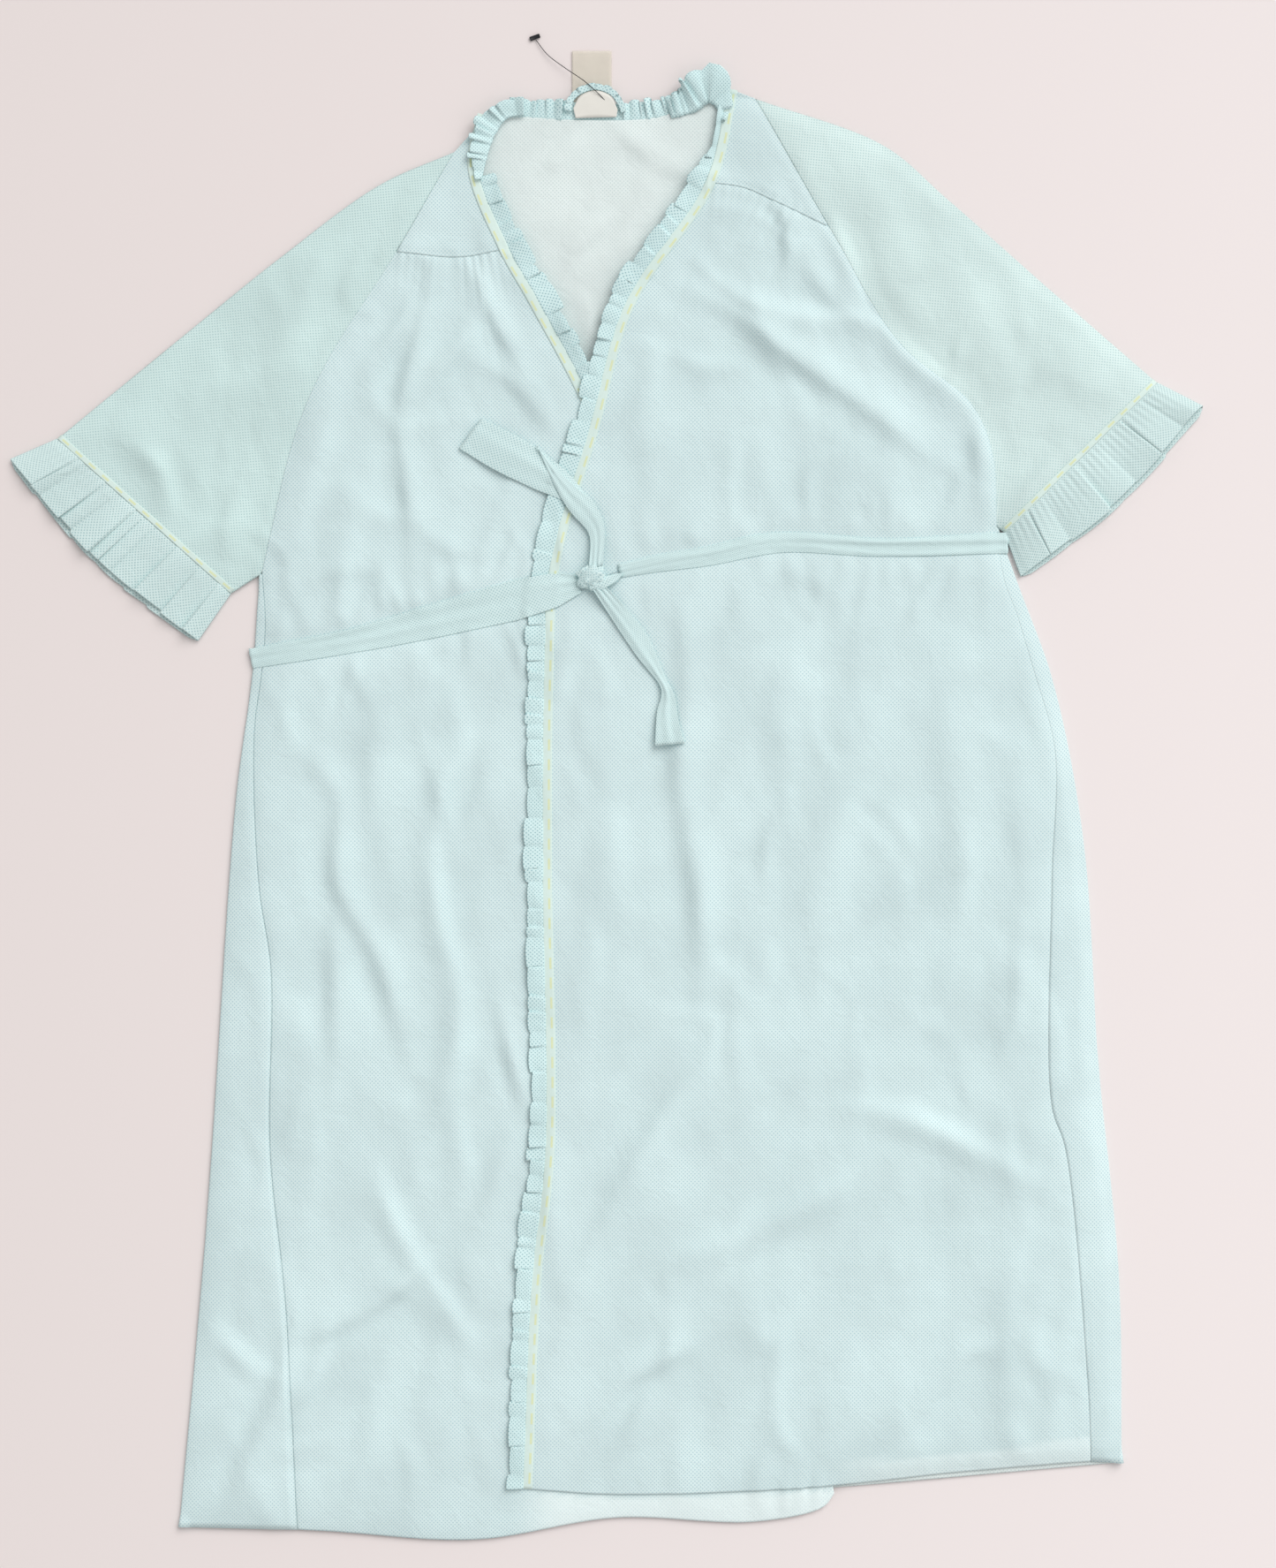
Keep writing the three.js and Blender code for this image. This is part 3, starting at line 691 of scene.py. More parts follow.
def dotted_cotton(name, ground, dot, pitch=3.1, radius=0.17, turn=0.0, fine=1.0):
    """Thin plain cotton with a printed dot. ground and dot are the cloth's two tones."""
    material, w, shader = new_material(name, linear(*ground), 0.88)
    shader.inputs["Sheen Weight"].default_value = 0.12
    shader.inputs["Sheen Roughness"].default_value = 0.5
    uv = w.node("ShaderNodeUVMap", uv_map="pattern")
    turned = w.node("ShaderNodeMapping")
    turned.inputs["Rotation"].default_value = (0, 0, turn)
    w.join(uv.outputs[0], turned.inputs["Vector"])
    dots = placed(w, DOTS, Pattern=turned.outputs[0], Pitch=pitch * MM, Radius=radius)
    weave = placed(w, WEAVE, Pattern=turned.outputs[0])
    rumple = placed(w, CRINKLE, Place=uv.outputs[0], Scale=70.0)
    deep = tuple(c * 0.93 for c in linear(*ground)[:3]) + (1.0,)
    pale = tuple(min(1, c * 1.03) for c in linear(*ground)[:3]) + (1.0,)
    spread = w.node("ShaderNodeMapRange")
    spread.inputs["From Min"].default_value = 0.35
    spread.inputs["From Max"].default_value = 0.65
    w.join(rumple.outputs["Cloud"], spread.inputs["Value"])
    # Paler ground and fainter dots where the pale attribute is set. Along the right front's bare hem this is painted
    # light showing through one thin layer; along the left hem it makes the cloth paler towards the side.
    hem_paling = w.node("ShaderNodeAttribute", attribute_type="GEOMETRY", attribute_name="pale")
    tone = w.mix(hem_paling.outputs["Fac"], w.mix(spread.outputs[0], deep, pale), linear(*(min(255, c + 20) for c in ground)))
    thread = w.mix(w.maths("MULTIPLY", weave.outputs["Slub"], 0.18), tone, deep)
    strength = w.maths("MULTIPLY", dots.outputs["Dot"], w.maths("MULTIPLY_ADD", hem_paling.outputs["Fac"], -0.4, 0.72))
    w.join(w.mix(strength, thread, linear(*dot)), shader.inputs["Base Color"])
    rough = w.maths("MULTIPLY_ADD", weave.outputs["Slub"], 0.16, 0.78)
    w.join(rough, shader.inputs["Roughness"])
    coarse = w.node("ShaderNodeBump")
    coarse.inputs["Strength"].default_value = 0.55 * fine
    coarse.inputs["Distance"].default_value = 1.6 * MM
    w.join(rumple.outputs["Height"], coarse.inputs["Height"])
    threads = w.node("ShaderNodeBump")
    threads.inputs["Strength"].default_value = 0.22
    threads.inputs["Distance"].default_value = 0.15 * MM
    w.join(weave.outputs["Height"], threads.inputs["Height"])
    w.join(coarse.outputs[0], threads.inputs["Normal"])
    w.join(threads.outputs[0], shader.inputs["Normal"])
    return material


def woven_tape(name, pitch, dash, ground=(221, 241, 235), mark=(230, 234, 172)):
    """White tape with a row of short yellow dashes. The pattern runs along it, with 0 at its middle."""
    material, w, shader = new_material(name, linear(*ground), 0.8)
    uv = w.node("ShaderNodeUVMap", uv_map="pattern")
    axes = w.node("ShaderNodeSeparateXYZ")
    w.join(uv.outputs[0], axes.inputs[0])
    share = w.maths("FRACT", w.maths("DIVIDE", axes.outputs[0], pitch * MM))
    within = w.maths("LESS_THAN", w.maths("ABSOLUTE", w.maths("SUBTRACT", share, 0.5)), dash / pitch / 2)
    middle = w.maths("LESS_THAN", w.maths("ABSOLUTE", axes.outputs[1]), 0.85 * MM)
    marked = w.maths("MULTIPLY", within, middle)
    rumple = placed(w, CRINKLE, Place=uv.outputs[0], Scale=160.0)
    body = w.mix(rumple.outputs["Cloud"], linear(*(c - 7 for c in ground)), linear(*(c + 5 for c in ground)))
    w.join(w.mix(w.maths("MULTIPLY", marked, 0.68), body, linear(*mark)), shader.inputs["Base Color"])
    ribs = w.maths("SINE", w.maths("MULTIPLY", axes.outputs[0], 2 * math.pi / (0.8 * MM)))
    height = w.maths("ADD", w.maths("MULTIPLY", ribs, 0.4), w.maths("MULTIPLY", marked, 1.5))
    bump = w.node("ShaderNodeBump")
    bump.inputs["Strength"].default_value = 0.5
    bump.inputs["Distance"].default_value = 0.2 * MM
    w.join(height, bump.inputs["Height"])
    w.join(bump.outputs[0], shader.inputs["Normal"])
    return material


def satin(name, color, alpha=1.0):
    """Blank label cloth with a fine rib."""
    material, w, shader = new_material(name, linear(*color), 0.55)
    shader.inputs["Alpha"].default_value = alpha
    shader.inputs["Sheen Weight"].default_value = 0.2
    place = w.node("ShaderNodeTexCoord")
    wave = w.node("ShaderNodeTexWave", bands_direction="Y")
    wave.inputs["Scale"].default_value = 500
    wave.inputs["Distortion"].default_value = 1.0
    w.join(place.outputs["Object"], wave.inputs["Vector"])
    cloud = w.node("ShaderNodeTexNoise")
    cloud.inputs["Scale"].default_value = 120
    w.join(place.outputs["Object"], cloud.inputs["Vector"])
    dull = tuple(c * 0.9 for c in linear(*color)[:3]) + (1.0,)
    w.join(w.mix(w.maths("MULTIPLY", cloud.outputs["Fac"], 0.6), linear(*color), dull), shader.inputs["Base Color"])
    bump = w.node("ShaderNodeBump")
    bump.inputs["Strength"].default_value = 0.25
    bump.inputs["Distance"].default_value = 0.1 * MM
    w.join(wave.outputs["Fac"], bump.inputs["Height"])
    w.join(bump.outputs[0], shader.inputs["Normal"])
    return material


def moulded_nylon():
    material, w, shader = new_material("moulded_nylon", linear(30, 32, 36), 0.42)
    place = w.node("ShaderNodeTexCoord")
    grain = w.node("ShaderNodeTexNoise")
    grain.inputs["Scale"].default_value = 1500
    w.join(place.outputs["Object"], grain.inputs["Vector"])
    w.join(w.mix(grain.outputs["Fac"], linear(24, 26, 30), linear(46, 48, 52)), shader.inputs["Base Color"])
    w.join(w.maths("MULTIPLY_ADD", grain.outputs["Fac"], 0.2, 0.3), shader.inputs["Roughness"])
    bump = w.node("ShaderNodeBump")
    bump.inputs["Strength"].default_value = 0.2
    bump.inputs["Distance"].default_value = 0.05 * MM
    w.join(grain.outputs["Fac"], bump.inputs["Height"])
    w.join(bump.outputs[0], shader.inputs["Normal"])
    return material


FRONT_CLOTH = dotted_cotton("front_cotton", (221, 241, 242), (166, 199, 209), radius=0.19)
BACK_CLOTH = dotted_cotton("back_cotton_inside", (232, 243, 242), (190, 210, 211), radius=0.17)
# The right sleeve is the front's cotton on a darker ground: painted shade.
RIGHT_SLEEVE_SHADED_CLOTH = dotted_cotton("right_sleeve_shaded_cotton", (213, 236, 234), (158, 192, 195), radius=0.18, turn=0.7)
LEFT_SLEEVE_CLOTH = dotted_cotton("left_sleeve_cotton", (219, 239, 237), (165, 198, 201), radius=0.18, turn=-0.7)
RUFFLE_CLOTH = dotted_cotton("ruffle_cotton", (217, 243, 244), (130, 173, 182), pitch=3.1, radius=0.18, fine=1.5)
CUFF_CLOTH = dotted_cotton("cuff_cotton", (219, 240, 239), (144, 182, 187), pitch=3.1, radius=0.19, fine=1.3)
BELT_CLOTH = dotted_cotton("belt_cotton", (219, 242, 242), (150, 186, 193), pitch=3.0, radius=0.2)
TAPE = woven_tape("trim_tape", 16.0, 9.0)
CUFF_TAPE = woven_tape("cuff_tape", 14.5, 7.0)
LABEL_SATIN = satin("label_satin", (238, 236, 229))
CARE_NYLON = satin("care_label", (246, 240, 228), 0.6)
NYLON = moulded_nylon()


# ------------------------------------------------------------------ camera and light
VIEW_CENTRE = (25.4, 10.4)
VIEW_HEIGHT = 1268.0
LENS, SENSOR = 85.0, 36.0


def make_camera():
    data = bpy.data.cameras.new("camera")
    data.lens = LENS
    data.sensor_width = SENSOR
    data.clip_end = 50
    camera = bpy.data.objects.new("camera", data)
    camera.location = (VIEW_CENTRE[0] * MM, VIEW_CENTRE[1] * MM, VIEW_HEIGHT * MM * LENS / SENSOR)
    bpy.context.scene.collection.objects.link(camera)
    bpy.context.scene.camera = camera


def soft_box(name, place, size, power, color):
    data = bpy.data.lights.new(name, "AREA")
    data.shape = "RECTANGLE"
    data.size, data.size_y = size
    data.energy = power
    data.color = color
    lamp = bpy.data.objects.new(name, data)
    lamp.location = place
    lamp.rotation_euler = (Vector((0, 0, 0)) - Vector(place)).to_track_quat("-Z", "Y").to_euler()
    bpy.context.scene.collection.objects.link(lamp)


def sky_light(toward, strength, spread, color):
    """Even light from one wide patch of the ceiling."""
    data = bpy.data.lights.new("key", "SUN")
    data.energy = strength
    data.angle = spread
    data.color = color
    lamp = bpy.data.objects.new("key", data)
    lamp.rotation_euler = Vector(toward).to_track_quat("Z", "Y").to_euler()
    bpy.context.scene.collection.objects.link(lamp)


def make_room():
    bm = bmesh.new()
    bmesh.ops.create_grid(bm, x_segments=1, y_segments=1, size=6.0)
    bmesh.ops.translate(bm, verts=bm.verts, vec=(0, 0, FLOOR * MM))
    mesh = bpy.data.meshes.new("floor")
    bm.to_mesh(mesh)
    bm.free()
    floor = bpy.data.objects.new("floor", mesh)
    bpy.context.scene.collection.objects.link(floor)
    material, w, shader = new_material("table_painted_light", linear(236, 227, 226), 0.9)
    place = w.node("ShaderNodeTexCoord")
    axes = w.node("ShaderNodeSeparateXYZ")
    w.join(place.outputs["Object"], axes.inputs[0])
    across = w.node("ShaderNodeMapRange")
    across.inputs["From Min"].default_value = -0.5
    across.inputs["From Max"].default_value = 0.5
    w.join(axes.outputs[0], across.inputs["Value"])
    # The table is painted lighter towards +X: painted light, brighter on the side where the lamps stand.
    tone = w.mix(across.outputs[0], linear(234, 225, 224), linear(242, 234, 234))
    w.join(tone, shader.inputs["Base Color"])
    floor.data.materials.append(material)
    world = bpy.data.worlds.new("room")
    world.use_nodes = True
    world.node_tree.nodes["Background"].inputs[0].default_value = (1.0, 0.985, 0.975, 1)
    world.node_tree.nodes["Background"].inputs[1].default_value = 0.53
    bpy.context.scene.world = world
    sky_light((0.62, 0.85, 1.0), 1.75, 0.8, (1.0, 0.99, 0.975))
    soft_box("side_fill", (1.9, -0.2, 1.9), (1.4, 2.4), 7, (1.0, 0.985, 0.98))
    view = bpy.context.scene.view_settings
    view.view_transform = "Standard"
    view.look = "None"
    view.exposure = 0.0
    view.gamma = 1.0


make_camera()
make_room()


# ------------------------------------------------------------------ body of the gown
def rows_for(bottom, top, left, right, spacing):
    wide = max(length_of(bottom), length_of(top))
    tall = max(length_of(left), length_of(right))
    across = close_at_ends(int(wide / spacing) + 2, [1.6 / wide, 4 / wide], [1.6 / wide, 4 / wide])
    up = close_at_ends(int(tall / spacing) + 2, [1.6 / tall, 4 / tall], [1.6 / tall, 4 / tall])
    return patch(bottom, top, left, right, across, up)


def body_sheet(name, lines, height, material, body, nodes, spacing=MEDIUM, pale=None):
    flat = rows_for(*lines, spacing)
    rows = lay(flat, height)
    hem_paling = None if pale is None else pale(flat.reshape(-1, 2)).reshape(flat.shape[:2])
    piece = sheet(name, rows, flat, material, pale=hem_paling, under=FRONT_CLOTH if material == BACK_CLOTH else BACK_CLOTH)
    declare(piece, body, nodes)
    return piece


def side_strip(name, seam, side, height, material, nodes, inward):
    """The cloth of the back, from the side seam round the side and a little way under."""
    up = np.linspace(0, 1, int(length_of(side) / MEDIUM) + 2)
    inner, outer = at_shares(seam, up), at_shares(side, up)
    count = 14
    flat = np.stack([inner + (outer - inner) * k for k in close_at_ends(count, (), (0.04, 0.1))], axis=1)
    top = lay(flat, height)
    out = np.stack([-directions(outer)[:, 1], directions(outer)[:, 0]], axis=1) * -inward
    edge = top[:, -1, 2]
    middle, radius = (edge + 0.5) / 2, (edge - 0.5) / 2
    turns = []
    for angle in np.linspace(0.25, 1, 5) * math.pi:
        place = outer + out * (radius * math.sin(angle))[:, None]
        turns.append(np.concatenate([place, (middle + radius * math.cos(angle))[:, None]], axis=1))
    for reach in (2.5, 6.0):
        turns.append(np.concatenate([outer - out * reach, np.full((len(outer), 1), 0.5)], axis=1))
    rows = np.concatenate([top, np.stack(turns, axis=1)], axis=1)
    steps = np.concatenate([np.zeros((len(rows), 1)), np.cumsum(
        np.linalg.norm(np.diff(rows, axis=1), axis=2), axis=1)], axis=1)
    pattern = np.stack([inner[:, :1] + inward * steps, np.repeat(rows[:, :1, 1], rows.shape[1], axis=1)], axis=2)
    piece = sheet(name, rows, pattern, material)
    declare(piece, "torso", nodes)
    return piece


def up_line(*lines):
    """Lines joined so that they run up from the hem."""
    line = joined(*lines)
    return line if line[0, 1] < line[-1, 1] else line[::-1]


right_raglan_low = part_of(RIGHT_RAGLAN, (-169, 441), (-279, 180))
right_raglan_high = part_of(RIGHT_RAGLAN, (-169, 441), (-123, 521))
left_raglan_low = part_of(LEFT_RAGLAN, (178, 462), (315, 218))
left_raglan_high = part_of(LEFT_RAGLAN, (178, 462), (120, 564))
waist_at_side = np.array([(317, 207)], float)


def painted_hem_light(p):
    """1 where the right front shows below the left front's hem. There the cloth is painted paler, with fainter dots:
    painted light showing through one thin layer.
    """
    dist, side, _ = nearest(p, evenly(LEFT_HEM, 12))
    return smooth_step((p[:, 0] + 80) / 45) * smooth_step(dist / 4) * (side < 0)


def left_hem_band(p):
    """Partly pale along the turned hem, towards the side."""
    dist, _, _ = nearest(p, evenly(LEFT_HEM, 12))
    band_edge = 22 + 5 * np.sin(p[:, 0] / 60)
    return 0.55 * smooth_step((p[:, 0] - 170) / 60) * smooth_step((band_edge - dist) / 3)


# right front, from its hem to the yoke seam
body_sheet("right_front", (
    part_of(RIGHT_HEM, (-250, -593), (184, -563)), RIGHT_YOKE,
    up_line(RIGHT_SIDE_SEAM[::-1], right_raglan_low[::-1]), part_of(RIGHT_EDGE, (184, -563), (-79, 444))),
    right_height, FRONT_CLOTH, RIGHT_FOLD, ["right_front_panel"], spacing=FINE + 0.3, pale=painted_hem_light)
body_sheet("right_yoke", (
    beside(RIGHT_YOKE, -1.6), np.array([(-123, 521), (-96, 550)], float),
    joined(beside(RIGHT_YOKE, -1.6)[:1], right_raglan_high),
    joined(beside(RIGHT_YOKE, -1.6)[-1:], part_of(RIGHT_EDGE, (-79, 444), (-96, 550)))),
    lambda p: right_height(p) + 0.5, FRONT_CLOTH, RIGHT_FOLD, ["right_front_yoke"], spacing=3.2)
side_strip("right_side_cloth", RIGHT_SIDE_SEAM[::-1], RIGHT_SIDE[::-1], right_height, FRONT_CLOTH, ["back_panel"], -1)

# left front: above the belt beside the sleeve, and below it over the corner that folds
waist_split = joined(np.array([(-49, 165)], float), WAIST[2:-3], waist_at_side)
body_sheet("left_front_chest", (
    waist_split, LEFT_YOKE[::-1],
    part_of(LEFT_EDGE, (-49, 165), (80, 497)), joined(waist_at_side, left_raglan_low[::-1])),
    left_height, FRONT_CLOTH, LEFT_FOLD, ["left_front_panel"], spacing=FINE)
body_sheet("left_yoke", (
    beside(LEFT_YOKE, 1.6)[::-1], np.array([(98, 572), (120, 564)], float),
    joined(beside(LEFT_YOKE, 1.6)[-1:], part_of(LEFT_EDGE, (80, 497), (98, 572))),
    joined(beside(LEFT_YOKE, 1.6)[:1], left_raglan_high)),
    lambda p: left_height(p) + 0.5, FRONT_CLOTH, LEFT_FOLD, ["left_front_yoke"], spacing=3.2)
left_seam_low = part_of(LEFT_SIDE_SEAM, (391, -537), (318, 200))
body_sheet("left_front_skirt", (
    part_of(LEFT_HEM, (-68, -558), (391, -537)), waist_split,
    part_of(LEFT_EDGE, (-68, -558), (-49, 165)), joined(left_seam_low, waist_at_side)),
    left_height, FRONT_CLOTH, CORNER_TURN, ["left_front_panel", "left_front_corner"],
    spacing=FINE + 0.3, pale=left_hem_band)
side_strip("left_side_cloth", LEFT_SIDE_SEAM[::-1], LEFT_SIDE[::-1], left_height, FRONT_CLOTH,
           ["back_panel"], 1)

# back, in three pieces that meet under the fronts
BACK_SPLIT_X, BACK_SPLIT_Y, BACK_INSET = -116.0, 150.0, 1.8
side_right, side_left = beside(RIGHT_SIDE, BACK_INSET), beside(LEFT_SIDE, -BACK_INSET)
right_at_waist = part_of(side_right, (-280, BACK_SPLIT_Y), (-279, 180))
left_at_waist = part_of(side_left, (336, BACK_SPLIT_Y), (315, 218))
middle_up = np.array([(BACK_SPLIT_X, BACK_SPLIT_Y), (BACK_SPLIT_X, 525.5)])
body_sheet("back_right_shoulder", (
    np.array([right_at_waist[0], middle_up[0]]), np.array([(-123, 521), middle_up[1]]),
    joined(right_at_waist, RIGHT_RAGLAN[::-1]), middle_up),
    back_height, BACK_CLOTH, RIGHT_FOLD, ["back_panel"], spacing=COARSE)
body_sheet("back_left_shoulder", (
    np.array([middle_up[0], left_at_waist[0]]), joined(middle_up[1:], BACK_NECK, LEFT_RAGLAN[:1]),
    middle_up, joined(left_at_waist, LEFT_RAGLAN[::-1])),
    back_height, BACK_CLOTH, LEFT_FOLD, ["back_panel"], spacing=MEDIUM)
body_sheet("back_skirt", (
    BACK_HEM, np.array([right_at_waist[0], left_at_waist[0]]),
    part_of(side_right, (-344, -588), right_at_waist[0]), part_of(side_left, (415, -536), left_at_waist[0])),
    back_height, BACK_CLOTH, "torso", ["back_panel"], spacing=COARSE)


# ------------------------------------------------------------------ sleeves and cuffs
def tube_shares(count):
    """Shares round a flattened tube: 0 to 1 over the top, then 1 to 2 back underneath."""
    top = close_at_ends(count, (0.006, 0.018, 0.035), (0.006, 0.018, 0.035))
    return np.concatenate([top, 2 - top[::-1][1:]])


def sleeve(side, raglan, shoulder, underarm, height, material, turn):
    head, cuff = raglan[::-1], np.array([underarm[-1], shoulder[-1]])
    shares = tube_shares(int(length_of(head) / (MEDIUM + 0.6)))
    up = close_at_ends(int(length_of(shoulder) / (MEDIUM + 0.6)), (0.006, 0.014), (0.006, 0.014))
    over = 1 - np.abs(1 - shares)
    flat = patch(head, cuff, underarm, shoulder, np.unique(over), up)
    flat = flat[:, np.searchsorted(np.unique(over), over)]
    p = flat.reshape(-1, 2)
    z = height(p).reshape(flat.shape[:2])
    under = 1.35 + 0.3 * soft_noise(21, 40)(p).reshape(flat.shape[:2])
    z = np.where(shares[None, :] <= 1, z, np.minimum(under, z - 1.0))
    z[:, -1] = z[:, 0]
    rows = np.concatenate([flat, z[..., None]], axis=2)
    pattern = flat * np.where(shares[None, :, None] <= 1, 1, -1)
    piece = sheet(f"{side}_sleeve_cloth", rows, pattern, material, closed=True)
    if side == "left":
        piece.data.flip_normals()
    declare(piece, turn, [f"{side}_sleeve"])


sleeve("right", RIGHT_RAGLAN, RIGHT_SHOULDER, RIGHT_UNDERARM, right_height, RIGHT_SLEEVE_SHADED_CLOTH, RIGHT_FOLD)
sleeve("left", LEFT_RAGLAN, LEFT_SHOULDER, LEFT_UNDERARM, left_height, LEFT_SLEEVE_CLOTH, LEFT_FOLD)


def pleats(length, seed, narrow, wide):
    """Places of a gathered strip's pleats, for a strip of this length."""
    rng = np.random.default_rng(seed)
    places = [0.0]
    while places[-1] < length:
        places.append(places[-1] + rng.uniform(narrow, wide))
    return np.array(places), rng.uniform(0, 1, (len(places), 4))


def cell_of(s, places):
    """For distances along a strip: which pleat, and the share of the way through it."""
    k = np.clip(np.searchsorted(places, s, side="right") - 1, 0, len(places) - 2)
    return k, (s - places[k]) / (places[k + 1] - places[k])


def pleat_shape(s, places, chance):
    """Over the pleats of a strip: how high each rises, from 0 to 1, with a steep lap at one end, and which end."""
    k, q = cell_of(s, places)
    lean = np.where(chance[k, 0] < 0.5, q, 1 - q)
    way = np.where(chance[k, 0] < 0.5, 1, -1)
    lapped = np.clip(lean / 0.88, 0, 1) ** 0.75 * np.clip((1 - lean) / 0.05, 0, 1)
    soft = np.sin(math.pi * q) ** 0.6
    return np.where(chance[k, 1] < 0.7, lapped, 0.7 * soft), lean, way, k


def cuff_ruffle(side, shoulder, underarm, free, height, seed, narrow, wide):
    """A deep gathered frill round the cuff: a flattened tube whose pleats open towards its free edge."""
    cuff = np.array([underarm[-1], shoulder[-1]])
    free = free[::-1]
    away = free[len(free) // 2] - cuff.mean(0)
    away = away / np.linalg.norm(away)
    along = (cuff[1] - cuff[0]) / np.linalg.norm(cuff[1] - cuff[0])
    width = length_of(cuff)
    shares = tube_shares(int(width / 1.1))
    over = 1 - np.abs(1 - shares)
    up = close_at_ends(17, (0.03,), (0.02,))
    tucked = cuff - away * 1.6
    flat = patch(tucked, free, np.array([tucked[0], free[0]]), np.array([tucked[-1], free[-1]]), np.unique(over), up)
    flat = flat[:, np.searchsorted(np.unique(over), over)]
    base = height(tucked[0] + (tucked[-1] - tucked[0]) * over[:, None]) - 0.35
    upper = pleats(width, seed, narrow, wide)
    lower = pleats(width, seed + 1, 20, 50)
    rise_t, lean_t, way_t, k_t = pleat_shape(over * width, *upper)
    rise_b, _, _, _ = pleat_shape(over * width, *lower)
    tiny = 0.5 + 0.5 * np.sin(2 * math.pi * over * width / 5.5 + 3 * upper[1][k_t, 2])
    edge = np.clip(np.minimum(over, 1 - over) / 0.04, 0, 1) ** 0.7
    on_top = shares <= 1
    rows = []
    for v, row in zip(up, flat):
        under_z = 0.9 + edge * rise_b * 0.8 * v
        size = 0.55 + 0.75 * upper[1][k_t, 3]
        top_z = base * (1 - v) + 3.0 * v + edge * (rise_t * size * 4.8 * v ** 0.6
                                                   + tiny * 0.9 * min(1, v / 0.12) * (1 - v) ** 1.5)
        z = np.where(on_top, np.maximum(top_z, under_z + 1.7 * edge + 0.5), under_z)
        z[-1] = z[0]
        slip = np.where(on_top, way_t * (lean_t - 0.35) * rise_t * 3.0, 0) * v * edge
        push = np.where(on_top, (upper[1][k_t, 2] - 0.6) * 3.0, 3.2 + (rise_b - 0.5) * 1.5) * v ** 2 * edge
        rows.append(np.concatenate([row + away * push[:, None] + along * slip[:, None], z[:, None]], axis=1))
    rows = np.array(rows)
    run = lengths_along(rows[len(up) // 2, :, :2]) * 1.05
    pattern = np.stack([np.repeat(run[None], len(up), 0), np.repeat((up * 48)[:, None], len(shares), 1)], axis=2)
    piece = sheet(f"{side}_cuff_frill", rows, pattern, CUFF_CLOTH, closed=True)
    if side == "left":
        piece.data.flip_normals()
    declare(piece, f"{side}_sleeve", [f"{side}_cuff_ruffle"])


# ------------------------------------------------------------------ edge ruffles and tapes
RUFFLE_WIDTH = 13.0


def edge_ruffle(name, line, outside, height, body, nodes, seed, width=RUFFLE_WIDTH, lift=0.3, narrow=7, wide=25,
                tall=1.0, covered=None, widths=((0, 1), (1, 1)), own_cut=True, flat_print=False):
    """A narrow gathered frill along an edge, its pleats lapping over one another.

    outside is +1 where it lies on the left of the line. covered gives, from 0 to 1, how far it is pressed flat."""
    line = evenly(line, 1.2)
    s = lengths_along(line)
    places, chance = pleats(s[-1], seed, narrow, wide)
    hump, lean, way, k = pleat_shape(s, places, chance)
    soft = np.sin(math.pi * lean) ** 0.5
    up = np.array([-0.12, 0, 0.08, 0.2, 0.35, 0.5, 0.65, 0.8, 0.9, 0.97, 1.0])
    flatten = 1 - (0 if covered is None else covered(line[:, :2]))
    for belt in BELTS:
        dist, _, _ = nearest(line[:, :2], belt)
        flatten = flatten * (1 - 0.95 * smooth_step((24 - dist) / 10))
    hump = hump * flatten
    out = np.stack([-directions(line)[:, 1], directions(line)[:, 0]], axis=1) * outside
    across = width * np.interp(s / s[-1], *zip(*widths))
    reach = across * (1 + ((chance[k, 2] - 0.5) * 0.34 + (soft - 0.7) * 0.14) * (0.35 + 0.65 * flatten))
    ripple = 0.5 + 0.5 * np.sin(s * 2.1 + 5 * chance[k, 3])
    rows = []
    for v in up:
        slip = way * (lean - 0.3) * hump * max(0, 2.6 * v + 0.5)
        p = line[:, :2] + out * (v * reach)[:, None] + directions(line) * slip[:, None]
        z = height(p) + lift + tall * (hump * (0.7 + 1.2 * chance[k, 3]) * (0.5 + 1.7 * v) * (1 - 0.3 * v ** 3)
                                       + 0.35 * ripple * flatten * (1 - v)) - (1.0 if v < 0 else 0)
        rows.append(np.concatenate([p, z[:, None]], axis=1))
    fold = rows[-1].copy()
    fold[:, 2] -= 0.7
    fold[:, :2] -= out * 0.5
    rows.append(fold)
    rows = np.array(rows)
    depth = np.concatenate([up * width, [width + 1]])
    pattern = np.stack([np.repeat((s * 1.08)[None], len(rows), 0), np.repeat(depth[:, None], len(s), 1)], axis=2)
    if flat_print:
        pattern = rows[..., :2] * 1.1
    piece = sheet(name, rows, pattern, RUFFLE_CLOTH, thickness=0.45)
    if outside < 0:
        piece.data.flip_normals()
    if not own_cut:
        return settle(piece, body, nodes)
    declare(piece, body, nodes)
    return piece


def tape(name, line, inset, height, body, nodes, material=TAPE, lift=0.35, outer=2.3, inner=2.3):
    """Tape along an edge. Its dashes run inset from the edge, with outer of tape on one side and inner on the other."""
    middle = evenly(beside(evenly(line, 4), inset), 3)
    across = np.linspace(-outer, inner, 8) if inset > 0 else np.linspace(-inner, outer, 8)
    out = np.stack([-directions(middle)[:, 1], directions(middle)[:, 0]], axis=1)
    rows = []
    for d in across:
        p = middle + out * d
        z = height(p) + lift + 0.12 * math.cos(d / 2.3)
        rows.append(np.concatenate([p, z[:, None]], axis=1))
    rows = np.array(rows)
    s = lengths_along(middle)
    pattern = np.stack([np.repeat(s[None], len(across), 0), np.repeat(across[:, None], len(s), 1)], axis=2)
    piece = sheet(name, rows, pattern, material, thickness=0.3)
    return settle(piece, body, nodes)


left_edge_top = part_of(LEFT_EDGE, (98, 572), (-49, 165))
left_edge_low = part_of(LEFT_EDGE, (-49, 165), (-68, -558))


def lap(p):
    """Where the left front's edge lies on the right front."""
    return right_height(p) + LAP_LIFT


def neck_lap(p):
    """The same, and beside the neck opening on the back."""
    return np.where(p[:, 1] > 330, np.maximum(left_height(p), back_height(p) + 1.5), lap(p))


